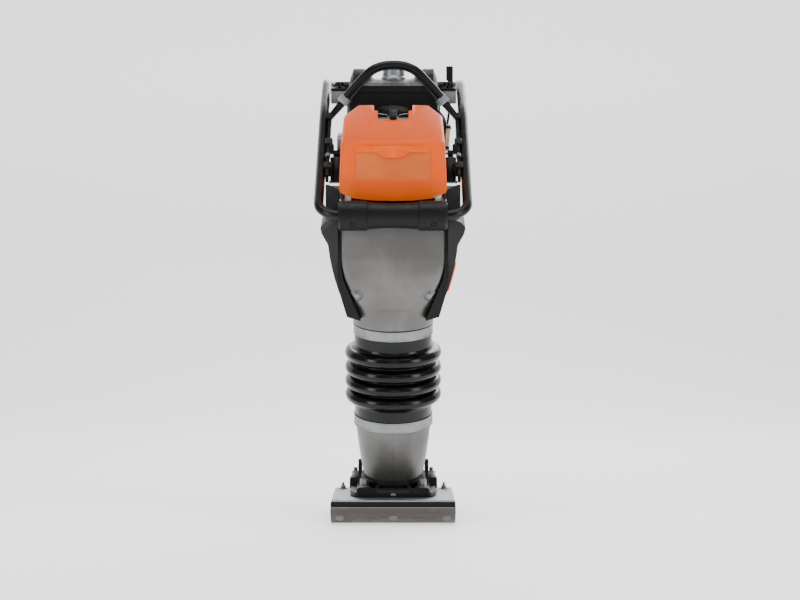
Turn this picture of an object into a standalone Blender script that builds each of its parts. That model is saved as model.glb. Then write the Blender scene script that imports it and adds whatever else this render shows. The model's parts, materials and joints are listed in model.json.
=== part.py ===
"""A jumping jack rammer: a sprung steel shoe on a leg that leans forward, driven by a crank in the
cast housing above it, with a small engine behind, an air filter in front and a tube handle frame.

Metres, +Z up, front towards -Y. The origin is the centre of the sole's flat underside.
The leg frame has its origin where the leg meets the shoe and its +Z up along the leg.
"""

import math

import bmesh
import bpy
from mathutils import Matrix, Vector

# ---------------------------------------------------------------- driving dimensions
GAP = 0.0003  # between pieces that touch
LEAN = math.radians(15)  # the leg leans forward
LEG_FOOT = Vector((0, 0.02, 0.09))
STEPS = 36  # sides of the round pieces on the leg axis

SHOE_HALF_WIDTH = 0.140
SHOE_FRONT, SHOE_REAR = -0.170, 0.170
SOLE_THICK = 0.008
TOE_START, TOE_TOP = -0.105, 0.043
PLATE_LOW, PLATE_THICK = 0.0538, 0.0038
PLATE_REAR = 0.130

CUP_TOP, CUP_TOP_R = 0.137, 0.0855  # the tapered cast leg
CUP_FLARE = [(0.083, 0.110), (0.0765, 0.062), (0.065, 0.0)]  # radius and height, down its outside
NECK_R = 0.0842  # what the bellows are clamped round, at both ends
LOWER_NECK_TOP = 0.166
INNER_TUBE_R, SPRING_BORE_R = 0.0655, 0.0545
INNER_TUBE_TOP = 0.395
CUP_FLOOR = 0.020
STOP_LOW, STOP_HIGH, STOP_R = 0.330, 0.340, 0.031

RING_INNER_R, RING_OUTER_R = 0.0889, 0.0909
LOWER_RING = (0.1387, 0.1625)
UPPER_RING = (0.355, 0.377)
BELLOWS_INNER_R, BELLOWS_NECK_R, BELLOWS_R = 0.0846, 0.0885, 0.110
BELLOWS_ENDS = (0.1372, 0.3785)
BULGES = (0.3075, 0.2727, 0.2405, 0.2086)  # heights of the bulges up the leg, from the top
BULGE_R = 0.0138

GUIDE_R, GUIDE_BORE_R = 0.0805, 0.0665
GUIDE_LOW, GUIDE_HIGH = 0.206, 0.420  # clear of the leg's neck at the top of its stroke
CASE_LOW, CASE_HIGH = 0.379, 0.655
CASE_BACK = 0.100

STROKE = 0.065
CRANK_R = STROKE / 2
CRANK_HEIGHT = 0.525  # of the crank's axis up the leg
ROD_LENGTH = 0.100
MODULE = 0.002
GEAR_TEETH, PINION_TEETH = 64, 11
SHAFT_HEIGHT = CRANK_HEIGHT + MODULE * (GEAR_TEETH + PINION_TEETH) / 2

TUBE_R = 0.011
FRAME_X = 0.164  # of the side tubes' centre lines
FRAME_FRONT = Vector((0, -0.250, 0.688))
FRAME_KNEE = Vector((0, 0.107, 0.950))
FRAME_BEND = Vector((0, 0.280, 1.040))
FRAME_REAR_END = Vector((0, 0.400, 1.048))
HANDLE_REAR_Y = 0.460
CORNER_R = 0.050

WORLD = Matrix.Identity(4)
LEG = Matrix.Translation(LEG_FOOT) @ Matrix.Rotation(LEAN, 4, "X")


# ---------------------------------------------------------------- scene and materials
def fresh_collection(name):
    collection = bpy.data.collections.new(name)
    bpy.context.scene.collection.children.link(collection)
    return collection


for old in list(bpy.data.objects):
    bpy.data.objects.remove(old, do_unlink=True)
PARTS = fresh_collection("jumping_jack_rammer")
CUTTERS = fresh_collection("cutters")
CUTTERS.hide_render = True


def paint(name, color, roughness, metallic):
    material = bpy.data.materials.new(name)
    material.use_nodes = True
    shader = material.node_tree.nodes["Principled BSDF"]
    shader.inputs["Base Color"].default_value = (*color, 1)
    shader.inputs["Roughness"].default_value = roughness
    shader.inputs["Metallic"].default_value = metallic
    return name


WORN_STEEL = ("worn_steel", (0.10, 0.08, 0.07), 0.45, 0.9)
ZINC = ("zinc", (0.52, 0.54, 0.56), 0.35, 0.9)
CAST_GREY = ("cast_aluminium", (0.22, 0.22, 0.22), 0.55, 0.7)
CAST_BLACK = ("black_casting", (0.012, 0.012, 0.012), 0.5, 0.2)
RUBBER = ("rubber", (0.008, 0.008, 0.009), 0.25, 0)
PLASTIC = ("black_plastic", (0.012, 0.012, 0.013), 0.45, 0)
COVER_GREY = ("dark_grey_plastic", (0.03, 0.031, 0.033), 0.5, 0)
ORANGE = ("orange_plastic", (0.75, 0.10, 0.01), 0.35, 0)
TUBE_BLACK = ("black_enamel", (0.006, 0.006, 0.007), 0.15, 0.1)
STEEL = ("machined_steel", (0.45, 0.45, 0.46), 0.3, 1)
PAPER = ("filter_paper", (0.55, 0.47, 0.30), 0.9, 0)


# ---------------------------------------------------------------- modelling helpers
def joint_empty(name, at, frame=WORLD):
    """An empty on a joint's axis; the pieces that move with the joint are its children."""
    empty = bpy.data.objects.new(name, None)
    PARTS.objects.link(empty)
    empty.empty_display_size = 0.03
    empty.matrix_basis = frame @ Matrix.Translation(at)
    return empty


def axis_place(at, axis, frame=WORLD):
    """The placement with its origin at a point and its +Z along an axis."""
    turn = Vector(axis).to_track_quat("Z", "Y").to_matrix().to_4x4()
    return frame @ Matrix.Translation(at) @ turn


def add_piece(name, data, place, look, joint):
    piece = bpy.data.objects.new(name, data)
    PARTS.objects.link(piece)
    material_name, color, roughness, metallic = look
    paint(name + "_" + material_name, color, roughness, metallic)
    data.materials.append(bpy.data.materials[name + "_" + material_name])
    piece.matrix_basis = place
    if joint:
        piece.parent = joint
        piece.matrix_parent_inverse = joint.matrix_basis.inverted()
    return piece


def mesh_from(bm, name, smooth_angle=35):
    bmesh.ops.recalc_face_normals(bm, faces=bm.faces)
    mesh = bpy.data.meshes.new(name)
    bm.to_mesh(mesh)
    bm.free()
    mesh.shade_smooth()
    mesh.set_sharp_from_angle(angle=math.radians(smooth_angle))
    return mesh


def bevel(piece, width, segments=1):
    modifier = piece.modifiers.new("edges", "BEVEL")
    modifier.width = width
    modifier.segments = segments
    modifier.limit_method = "ANGLE"
    modifier.angle_limit = math.radians(40)


def block(name, low, high, look, joint, frame=WORLD, edge=0.0):
    """A box between two corners of a frame."""
    low, high = Vector(low), Vector(high)
    bm = bmesh.new()
    bmesh.ops.create_cube(bm, size=1, matrix=Matrix.Diagonal((*(high - low), 1)))
    place = frame @ Matrix.Translation((low + high) / 2)
    piece = add_piece(name, mesh_from(bm, name), place, look, joint)
    if edge:
        bevel(piece, edge)
    return piece


def cylinder(name, radius, start, end, look, joint, frame=WORLD, sides=20):
    """A cylinder between two points of a frame."""
    start, end = Vector(start), Vector(end)
    bm = bmesh.new()
    bmesh.ops.create_cone(
        bm,
        cap_ends=True,
        segments=sides,
        radius1=radius,
        radius2=radius,
        depth=(end - start).length,
    )
    place = axis_place((start + end) / 2, end - start, frame)
    return add_piece(name, mesh_from(bm, name), place, look, joint)


def turned(name, profile, place, look, joint, closed=True, steps=STEPS):
    """A shape turned about its own Z from (radius, height) points that run down its outer side."""
    mesh = bpy.data.meshes.new(name)
    points = [(radius, 0, height) for radius, height in profile]
    edges = [(i, i + 1) for i in range(len(points) - 1)]
    if closed:
        edges.append((len(points) - 1, 0))
    mesh.from_pydata(points, edges, [])
    piece = add_piece(name, mesh, place, look, joint)
    screw = piece.modifiers.new("turn", "SCREW")
    screw.steps = screw.render_steps = steps
    screw.use_merge_vertices = True
    screw.merge_threshold = 0.00005
    screw.use_smooth_shade = True
    return piece


def ring(name, inner, outer, low, high, look, joint, frame=LEG, steps=STEPS):
    profile = [(outer, high), (outer, low), (inner, low), (inner, high)]
    return turned(name, profile, frame, look, joint, steps=steps)


def tube(name, points, radius, look, joint, frame=WORLD, resolution=2):
    """A round bar or tube along points."""
    curve = bpy.data.curves.new(name, "CURVE")
    curve.dimensions = "3D"
    curve.bevel_depth = radius
    curve.bevel_resolution = resolution
    curve.use_fill_caps = True
    spline = curve.splines.new("POLY")
    spline.points.add(len(points) - 1)
    for point, place in zip(spline.points, points):
        point.co = (*place, 1)
    spline.use_smooth = True
    return add_piece(name, curve, frame, look, joint)


def slab(name, outline, thickness, place, look, joint):
    """A flat outline in the placement's XY plane, extruded by half its thickness each way."""
    curve = bpy.data.curves.new(name, "CURVE")
    curve.dimensions = "2D"
    curve.fill_mode = "BOTH"
    curve.extrude = thickness / 2
    spline = curve.splines.new("POLY")
    spline.points.add(len(outline) - 1)
    for point, (x, y) in zip(spline.points, outline):
        point.co = (x, y, 0, 1)
    spline.use_cyclic_u = True
    return add_piece(name, curve, place, look, joint)


def side_view(x, frame=WORLD):
    """The placement of an outline drawn in (y, z), extruded along X."""
    axes = Matrix(((0, 0, 1, x), (1, 0, 0, 0), (0, 1, 0, 0), (0, 0, 0, 1)))
    return frame @ axes


def front_view(y, frame=WORLD):
    """The placement of an outline drawn in (x, z), extruded along Y."""
    axes = Matrix(((1, 0, 0, 0), (0, 0, -1, y), (0, 1, 0, 0), (0, 0, 0, 1)))
    return frame @ axes


def as_mesh(piece):
    """Makes a curve, or a mesh with modifiers, a plain closed mesh with the same name and place."""
    bpy.context.view_layer.update()
    graph = bpy.context.evaluated_depsgraph_get()
    mesh = bpy.data.meshes.new_from_object(piece.evaluated_get(graph))
    bm = bmesh.new()
    bm.from_mesh(mesh)
    bmesh.ops.remove_doubles(bm, verts=bm.verts, dist=0.00001)
    bmesh.ops.recalc_face_normals(bm, faces=bm.faces)
    bm.to_mesh(mesh)
    bm.free()
    name, joint, place = piece.name, piece.parent, piece.matrix_world.copy()
    bpy.data.objects.remove(piece, do_unlink=True)
    made = bpy.data.objects.new(name, mesh)
    mesh.shade_smooth()
    mesh.set_sharp_from_angle(angle=math.radians(35))
    PARTS.objects.link(made)
    made.matrix_basis = place
    if joint:
        made.parent = joint
        made.matrix_parent_inverse = joint.matrix_basis.inverted()
    return made


def combine(target, other, operation):
    """Cuts other from target, or joins it on; other stays as a hidden helper."""
    if other.type != "MESH" or other.modifiers:
        other = as_mesh(other)
    modifier = target.modifiers.new(other.name, "BOOLEAN")
    modifier.operation = operation
    modifier.object = other
    modifier.solver = "EXACT"
    PARTS.objects.unlink(other)
    CUTTERS.objects.link(other)
    other.hide_render = True
    other.display_type = "WIRE"


def cut(target, *cutters):
    for cutter in cutters:
        combine(target, cutter, "DIFFERENCE")


def join(target, *others):
    for other in others:
        combine(target, other, "UNION")


def arc(centre, radius, start, end, count):
    """Points on an arc, angles in degrees."""
    spread = [math.radians(start + (end - start) * i / (count - 1)) for i in range(count)]
    return [(centre[0] + radius * math.cos(a), centre[1] + radius * math.sin(a)) for a in spread]


def both_sides(make):
    """Calls make(side name, sign) for the left (-X) and the right (+X)."""
    for side, sign in (("left", -1), ("right", 1)):
        make(side, sign)


# ---------------------------------------------------------------- the foot: shoe, leg and springs
FOOT = joint_empty("foot_stroke", (0, 0, 0), LEG)


def build_shoe():
    toe = [(TOE_START, 0), (-0.124, 0.0035), (-0.142, 0.0125), (-0.157, 0.024), (-0.167, 0.036)]
    toe_inside = [(-0.1605, TOE_TOP), (-0.150, 0.029), (-0.137, 0.0195), (-0.121, 0.0112)]
    sole = [(SHOE_REAR - 0.012, 0)] + toe + [(SHOE_FRONT, TOE_TOP)] + toe_inside
    sole += [(TOE_START, SOLE_THICK), (0.154, SOLE_THICK), (0.162, 0.018), (SHOE_REAR, 0.016)]
    slab("wear_plate", sole, 2 * SHOE_HALF_WIDTH, side_view(0), WORN_STEEL, FOOT)

    lift = SOLE_THICK + GAP
    core = [(-0.1665, TOE_TOP + GAP), (-0.160, TOE_TOP + GAP), (-0.1495, 0.0294), (-0.1365, 0.0199)]
    core += [(-0.1205, 0.0116), (TOE_START, lift), (0.1535, lift), (0.160, 0.0185), (0.160, 0.030)]
    core += [(PLATE_REAR, PLATE_LOW - GAP), (-0.1665, PLATE_LOW - GAP)]
    slab("shoe_core", core, 2 * SHOE_HALF_WIDTH - 0.002, side_view(0), PLASTIC, FOOT)

    block(
        "shoe_top_plate",
        (-SHOE_HALF_WIDTH + 0.002, -0.166, PLATE_LOW),
        (SHOE_HALF_WIDTH - 0.002, PLATE_REAR, PLATE_LOW + PLATE_THICK),
        ZINC,
        FOOT,
    )


def build_leg_bracket():
    """The black casting that holds the leg on the shoe: a plate, a collar, four lugs and two fins."""
    low = PLATE_LOW + PLATE_THICK + GAP
    bracket = block("leg_bracket", (-0.098, -0.104, low), (0.098, 0.104, 0.068), CAST_BLACK, FOOT)
    collar = turned(
        "bracket_collar",
        [(0.0, 0.014), (0.071, 0.014), (0.080, -0.030), (0.0, -0.030)],
        LEG,
        CAST_BLACK,
        FOOT,
        closed=False,
    )

    def build_side(side, sign):
        front = block(
            f"lug_front_{side}",
            (sign * 0.067 - 0.016, -0.099, 0.060),
            (sign * 0.067 + 0.016, -0.042, 0.077),
            CAST_BLACK,
            FOOT,
        )
        rear = block(
            f"lug_rear_{side}",
            (sign * 0.086 - 0.017, 0.066, 0.060),
            (sign * 0.086 + 0.017, 0.102, 0.087),
            CAST_BLACK,
            FOOT,
        )
        fin_outline = [(0.000, 0.060), (0.074, 0.060), (0.070, 0.105), (0.055, 0.132), (0.032, 0.100)]
        fin = slab(f"fin_{side}", fin_outline, 0.009, side_view(sign * 0.0775), CAST_BLACK, FOOT)
        join(bracket, front, rear, fin)

    join(bracket, collar)
    both_sides(build_side)
    floor = block("under_bracket", (-0.2, -0.2, -0.1), (0.2, 0.2, low), CAST_BLACK, FOOT)
    around = [(radius + GAP, height) for radius, height in CUP_FLARE]
    socket_profile = [(0, 0.300), (0.130, 0.300)] + around + [(0.060 + GAP, -0.0063), (0, -0.0063)]
    socket = turned("leg_socket", socket_profile, LEG, CAST_BLACK, FOOT, closed=False)
    cut(bracket, floor, socket)


def build_leg_nut(name, x, y, low, high):
    """A stud with its washer and nut, as one turned shape with six sides on the nut."""
    height = high - low
    profile = [(0, height), (0.0045, height), (0.0045, 0.62 * height), (0.0095, 0.62 * height)]
    profile += [(0.0095, 0.12 * height), (0.0115, 0.12 * height), (0.0115, GAP), (0, GAP)]
    place = Matrix.Translation((x, y, low))
    turned(name, profile, place, ZINC, FOOT, closed=False, steps=12)


def build_leg():
    """The spring cylinder: a tapered cast cup with the inner tube that slides up the guide cylinder."""
    profile = [(INNER_TUBE_R, INNER_TUBE_TOP), (INNER_TUBE_R, LOWER_NECK_TOP)]
    profile += [(NECK_R, LOWER_NECK_TOP), (NECK_R, CUP_TOP), (CUP_TOP_R, CUP_TOP - 0.001)]
    profile += CUP_FLARE + [(0.060, -0.006), (0, -0.006)]
    profile += [(0, CUP_FLOOR), (SPRING_BORE_R, CUP_FLOOR), (SPRING_BORE_R, STOP_LOW)]
    profile += [(STOP_R, STOP_LOW), (STOP_R, STOP_HIGH), (SPRING_BORE_R, STOP_HIGH)]
    profile += [(SPRING_BORE_R, INNER_TUBE_TOP), (INNER_TUBE_R, INNER_TUBE_TOP)]
    turned("spring_cylinder", profile, LEG, CAST_GREY, FOOT, closed=False)
    ring("lower_clamp_ring", RING_INNER_R, RING_OUTER_R, *LOWER_RING, ZINC, FOOT)


def build_bellows():
    low, high = BELLOWS_ENDS
    profile = [(BELLOWS_NECK_R, high), (BELLOWS_NECK_R, BULGES[0] + 1.25 * BULGE_R)]
    for height in BULGES:
        middle = BELLOWS_R - BULGE_R
        profile += arc((middle, height), BULGE_R, 62, -62, 5)
    profile += [(BELLOWS_NECK_R, BULGES[-1] - 1.25 * BULGE_R), (BELLOWS_NECK_R, low)]
    profile += [(BELLOWS_INNER_R, low), (BELLOWS_INNER_R, high)]
    turned("bellows", profile, LEG, RUBBER, FOOT)


def build_spring(name, low, high, turns, radius, wire):
    steps_per_turn = 12
    count = turns * steps_per_turn
    rise = (high - low - 2 * wire) / count
    points = []
    for i in range(count + 1):
        angle = 2 * math.pi * i / steps_per_turn
        points.append((radius * math.cos(angle), radius * math.sin(angle), low + wire + rise * i))
    tube(name, points, wire, STEEL, FOOT, LEG, resolution=1)


def build_side_nuts(side, sign):
    build_leg_nut(f"leg_nut_front_{side}", sign * 0.067, -0.060, 0.077, 0.107)
    build_leg_nut(f"leg_nut_rear_{side}", sign * 0.089, 0.085, 0.087, 0.110)


build_shoe()
build_leg_bracket()
both_sides(build_side_nuts)
build_leg()
build_bellows()

# ---------------------------------------------------------------- piston, crank and clutch
PISTON_LOW, PISTON_HIGH = 0.190, 0.210
PISTON = joint_empty("piston_stroke", (0, 0, PISTON_LOW), LEG)
CRANK = joint_empty("crank_gear_spin", (0, 0, CRANK_HEIGHT), LEG)
PIN_HEIGHT = CRANK_HEIGHT - CRANK_R
ROD = joint_empty("connecting_rod_swing", (0, 0, PIN_HEIGHT), LEG)
PINION = joint_empty("clutch_drum_spin", (0, 0, SHAFT_HEIGHT), LEG)
ENGINE_SHAFT = joint_empty("engine_shaft_spin", (0, 0, SHAFT_HEIGHT), LEG)
FORK_TOP, FORK_SLOT, FORK_LOW = 0.414, 0.308, 0.294
ROD_HALF_THICK = 0.010
SMALL_END = PIN_HEIGHT - ROD_LENGTH
GEAR_FRONT, GEAR_BACK = 0.045, 0.062


def build_piston():
    profile = [(0.053, PISTON_HIGH), (0.053, PISTON_LOW), (0.013, PISTON_LOW), (0.013, PISTON_HIGH)]
    turned("piston", profile, LEG, CAST_GREY, PISTON)
    stem = [(0, FORK_LOW + 0.004), (0.0127, FORK_LOW + 0.004), (0.0127, PISTON_LOW), (0, PISTON_LOW)]
    rod = turned("piston_rod", stem, LEG, STEEL, PISTON, closed=False, steps=24)
    fork = block("fork", (-0.022, -0.018, FORK_LOW), (0.022, 0.018, FORK_TOP), STEEL, PISTON, LEG)
    slot_low, slot_high = (-0.05, -0.012, FORK_SLOT), (0.05, 0.012, FORK_TOP + 0.02)
    slot = block("fork_slot", slot_low, slot_high, STEEL, PISTON, LEG)
    join(rod, fork)
    cut(rod, slot)


def build_connecting_rod():
    place = front_view(0, LEG)
    thick = 2 * ROD_HALF_THICK
    big = arc((0, PIN_HEIGHT), 0.024, -60, 240, 18)
    small = arc((0, SMALL_END), 0.016, 160, 380, 12)
    rod = as_mesh(slab("connecting_rod", big + small, thick, place, STEEL, ROD))
    for height, radius in ((PIN_HEIGHT, 0.0114), (SMALL_END, 0.0070)):
        start, end = (0, -0.03, height), (0, 0.03, height)
        cut(rod, cylinder(f"rod_eye_{height:.2f}", radius, start, end, STEEL, ROD, LEG))


def gear_outline(teeth, centre_height, phase, tooth_share=0.40):
    """A gear's outline with straight-sided teeth; phase turns it by that share of a tooth."""
    pitch_r = MODULE * teeth / 2
    root, tip = pitch_r - 1.15 * MODULE, pitch_r + 0.75 * MODULE
    points = []
    for tooth in range(teeth):
        middle = 2 * math.pi * (tooth + phase) / teeth
        half = math.pi * tooth_share / teeth
        for radius, offset in ((root, -1.35), (tip, -0.62), (tip, 0.62), (root, 1.35)):
            angle = middle + offset * half
            points.append((radius * math.sin(angle), centre_height + radius * math.cos(angle)))
    return points


def build_crank():
    thick = GEAR_BACK - GEAR_FRONT
    place = front_view((GEAR_FRONT + GEAR_BACK) / 2, LEG)
    outline = gear_outline(GEAR_TEETH, CRANK_HEIGHT, 0)
    gear = as_mesh(slab("crank_gear", outline, thick, place, STEEL, CRANK))
    pin_ends = (0, -0.012, PIN_HEIGHT), (0, GEAR_FRONT + 0.005, PIN_HEIGHT)
    shaft_ends = (0, GEAR_BACK - 0.005, CRANK_HEIGHT), (0, 0.1085, CRANK_HEIGHT)
    join(gear, cylinder("crank_pin", 0.0110, *pin_ends, STEEL, CRANK, LEG))
    join(gear, cylinder("crank_shaft", 0.0150, *shaft_ends, STEEL, CRANK, LEG))


def along_shaft(height):
    """The placement whose +Z runs back along an engine or crank shaft."""
    return axis_place((0, 0, height), (0, 1, 0), LEG)


def build_clutch():
    drum_profile = [(0, 0.117), (0.034, 0.117), (0.034, 0.133), (0.037, 0.133), (0.037, 0.114)]
    drum_profile += [(0.0085, 0.114), (0.0085, 0.036), (0, 0.036)]
    drum = turned(
        "clutch_drum", drum_profile, along_shaft(SHAFT_HEIGHT), STEEL, PINION, closed=False, steps=24
    )
    teeth = gear_outline(PINION_TEETH, SHAFT_HEIGHT, 0.5 + PINION_TEETH / 2)
    pinion = slab("pinion", teeth, 0.021, front_view(0.0535, LEG), STEEL, PINION)
    join(drum, pinion)

    hub = [(0, 0.262), (0.0078, 0.262), (0.0078, 0.131), (0.030, 0.131), (0.030, 0.119), (0, 0.119)]
    turned("clutch_hub", hub, along_shaft(SHAFT_HEIGHT), STEEL, ENGINE_SHAFT, closed=False, steps=24)


def build_flywheel():
    profile = [(0.0081, 0.2405), (0.0081, 0.250), (0.064, 0.250), (0.064, 0.2405)]
    flywheel = turned("flywheel", profile, along_shaft(SHAFT_HEIGHT), CAST_GREY, ENGINE_SHAFT, steps=24)
    blades = 10
    for i in range(blades):
        turn = Matrix.Rotation(2 * math.pi * i / blades, 4, "Y")
        place = LEG @ Matrix.Translation((0, 0, SHAFT_HEIGHT)) @ turn
        low, high = (0.036, 0.249, -0.0015), (0.061, 0.259, 0.0015)
        join(flywheel, block(f"fan_blade_{i}", low, high, CAST_GREY, ENGINE_SHAFT, place))


build_piston()
build_spring("lower_spring", CUP_FLOOR + GAP, PISTON_LOW - GAP, 6, 0.0415, 0.0055)
build_spring("upper_spring", PISTON_HIGH + GAP, STOP_LOW - GAP, 5, 0.0435, 0.0050)
build_connecting_rod()
build_crank()
build_clutch()
build_flywheel()

# ---------------------------------------------------------------- the housing
ROOT = None  # the housing does not move
# Sections of the crankcase up the leg: height, half width, front, back and squareness (2 is round).
CASE_SECTIONS = [
    (CASE_LOW, 0.0909, -0.0909, 0.0909, 2.0),
    (0.400, 0.0912, -0.0909, 0.0909, 2.4),
    (0.430, 0.0925, -0.0915, 0.0915, 3.4),
    (0.453, 0.0965, -0.0920, 0.0925, 5.0),
    (0.476, 0.1035, -0.0920, 0.0935, 6.5),
    (0.499, 0.1105, -0.0905, 0.0950, 8.0),
    (0.521, 0.1160, -0.0880, 0.0965, 9.0),
    (0.544, 0.1185, -0.0850, 0.0980, 9.0),
    (CASE_HIGH, 0.1185, -0.0620, CASE_BACK, 9.0),
]
PANEL_SCREW_X, PANEL_SCREW_HEIGHT = 0.081, 0.464
MOUNT_X, MOUNT_Y, MOUNT_LOW = 0.1275, -0.034, 0.7655  # the rubber mounts stand on the case's arms


def squared_round(half_width, half_depth, squareness, count):
    """Points of a superellipse, which runs from a circle to a rounded box."""
    points = []
    for i in range(count):
        c, s = math.cos(2 * math.pi * i / count), math.sin(2 * math.pi * i / count)
        x = half_width * math.copysign(abs(c) ** (2 / squareness), c)
        y = half_depth * math.copysign(abs(s) ** (2 / squareness), s)
        points.append((x, y))
    return points


def loft(name, sections, look, joint, frame):
    """A closed shape through sections of equal point counts, each a height and its (x, y) points."""
    bm = bmesh.new()
    rings = [[bm.verts.new((x, y, height)) for x, y in points] for height, points in sections]
    count = len(rings[0])
    for low, high in zip(rings, rings[1:]):
        for i in range(count):
            following = (i + 1) % count
            bm.faces.new((low[i], low[following], high[following], high[i]))
    bm.faces.new(rings[0][::-1])
    bm.faces.new(rings[-1])
    return add_piece(name, mesh_from(bm, name), frame, look, joint)


def build_crankcase():
    sections = []
    for height, half_width, front, back, squareness in CASE_SECTIONS:
        middle = (front + back) / 2
        points = squared_round(half_width, (back - front) / 2, squareness, STEPS)
        sections.append((height, [(x, y + middle) for x, y in points]))
    case = loft("crankcase", sections, CAST_GREY, ROOT, LEG)
    neck_profile = [(NECK_R, CASE_LOW + 0.004), (NECK_R, 0.345), (0.060, 0.345), (0.060, CASE_LOW + 0.004)]
    neck = turned("case_neck", neck_profile, LEG, CAST_GREY, ROOT)
    join(case, neck)

    def add_lug(side, sign):
        low_x, high_x = sorted((sign * 0.107, sign * 0.146))
        low, high = (low_x, -0.062, 0.7345), (high_x, -0.016, MOUNT_LOW)
        join(case, block(f"case_arm_{side}", low, high, CAST_GREY, ROOT))

    both_sides(add_lug)
    bore_profile = [(0, 0.480), (GUIDE_R + GAP, 0.480), (GUIDE_R + GAP, 0.300), (0, 0.300)]
    bore = turned("case_bore", bore_profile, LEG, CAST_GREY, ROOT, closed=False)
    chamber = block("gear_chamber", (-0.085, -0.052, 0.474), (0.085, 0.150, 0.640), CAST_GREY, ROOT, LEG)
    cut(case, bore, chamber)

    def add_screw(side, sign):
        front = -0.0925
        at = sign * PANEL_SCREW_X
        pocket_ends = (at, front - 0.03, PANEL_SCREW_HEIGHT), (at, front + 0.006, PANEL_SCREW_HEIGHT)
        cut(case, cylinder(f"pocket_{side}", 0.013, *pocket_ends, CAST_GREY, ROOT, LEG, sides=16))
        head = [(0, 0.0055), (0.0065, 0.0055), (0.0070, 0.0015)]
        head += [(0.0105, 0.0015), (0.0105, 0), (0, 0)]
        place = axis_place((at, front + 0.006 - GAP, PANEL_SCREW_HEIGHT), (0, -1, 0), LEG)
        turned(f"panel_screw_{side}", head, place, ZINC, ROOT, closed=False, steps=16)

    both_sides(add_screw)


def build_bell_housing():
    """The plate that closes the gear chamber, with the bell round the clutch that carries the engine."""
    low, high = CASE_BACK + GAP, 0.111
    outline = [(x, y + 0.548) for x, y in squared_round(0.105, 0.095, 6, STEPS)]
    place = front_view((low + high) / 2, LEG)
    plate = as_mesh(slab("bell_housing", outline, high - low, place, CAST_GREY, ROOT))
    bell_profile = [(0.042, 0.1345), (0.055, 0.1345), (0.055, 0.108), (0.042, 0.108)]
    bell = turned("bell", bell_profile, along_shaft(SHAFT_HEIGHT), CAST_GREY, ROOT, steps=24)
    join(plate, bell)
    for label, radius, height in (("drum", 0.0095, SHAFT_HEIGHT), ("crank", 0.0154, CRANK_HEIGHT)):
        ends = (0, 0.05, height), (0, 0.14, height)
        cut(plate, cylinder(f"{label}_bearing", radius, *ends, CAST_GREY, ROOT, LEG, sides=24))


def build_guide():
    ring("guide_cylinder", GUIDE_BORE_R, GUIDE_R, GUIDE_LOW, GUIDE_HIGH, STEEL, ROOT)
    ring("upper_clamp_ring", RING_INNER_R, RING_OUTER_R, *UPPER_RING, ZINC, ROOT)


def build_side_cover(side, sign):
    """A plastic shell beside the crankcase, with a tip that wraps forward and a shroud on top."""
    outer = [(0.1020, 0.410), (0.1080, 0.430), (0.1160, 0.4587), (0.1209, 0.472), (0.1286, 0.4974)]
    outer += [(0.1351, 0.5237), (0.1399, 0.550), (0.1434, 0.5767), (0.1504, 0.5897), (0.1573, 0.6027)]
    outer += [(0.1600, 0.6158), (0.1520, 0.627), (0.1400, 0.634)]
    inner = [(0.1200, 0.634), (0.1200, 0.544), (0.1175, 0.521), (0.1120, 0.499), (0.1050, 0.476)]
    inner += [(0.0980, 0.453), (0.0945, 0.430), (0.0935, 0.410)]
    outline = [(sign * x, s) for x, s in outer + inner]
    depth_low, depth_high = -0.085, 0.096
    middle, depth = (depth_low + depth_high) / 2, depth_high - depth_low
    place = front_view(middle, LEG)
    cover = as_mesh(slab(f"side_cover_{side}", outline, depth, place, COVER_GREY, ROOT))
    wall = 0.0035
    hollow = [(0.080, 0.430)] + [(x - wall, s) for x, s in outer[1:11]]
    hollow += [(0.147, 0.622), (0.110, 0.622), (0.110, 0.500), (0.080, 0.445)]
    hollow = [(sign * x, s) for x, s in hollow]
    behind_front_wall = front_view(middle + 0.004, LEG)
    cut(cover, slab(f"cover_hollow_{side}", hollow, depth, behind_front_wall, COVER_GREY, ROOT))
    low_x, high_x = sorted((sign * 0.1205, sign * 0.1500))
    low, high = (low_x, -0.181, 0.660), (high_x, -0.168, 0.745)
    join(cover, block(f"shroud_{side}", low, high, COVER_GREY, ROOT, edge=0.004))


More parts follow.
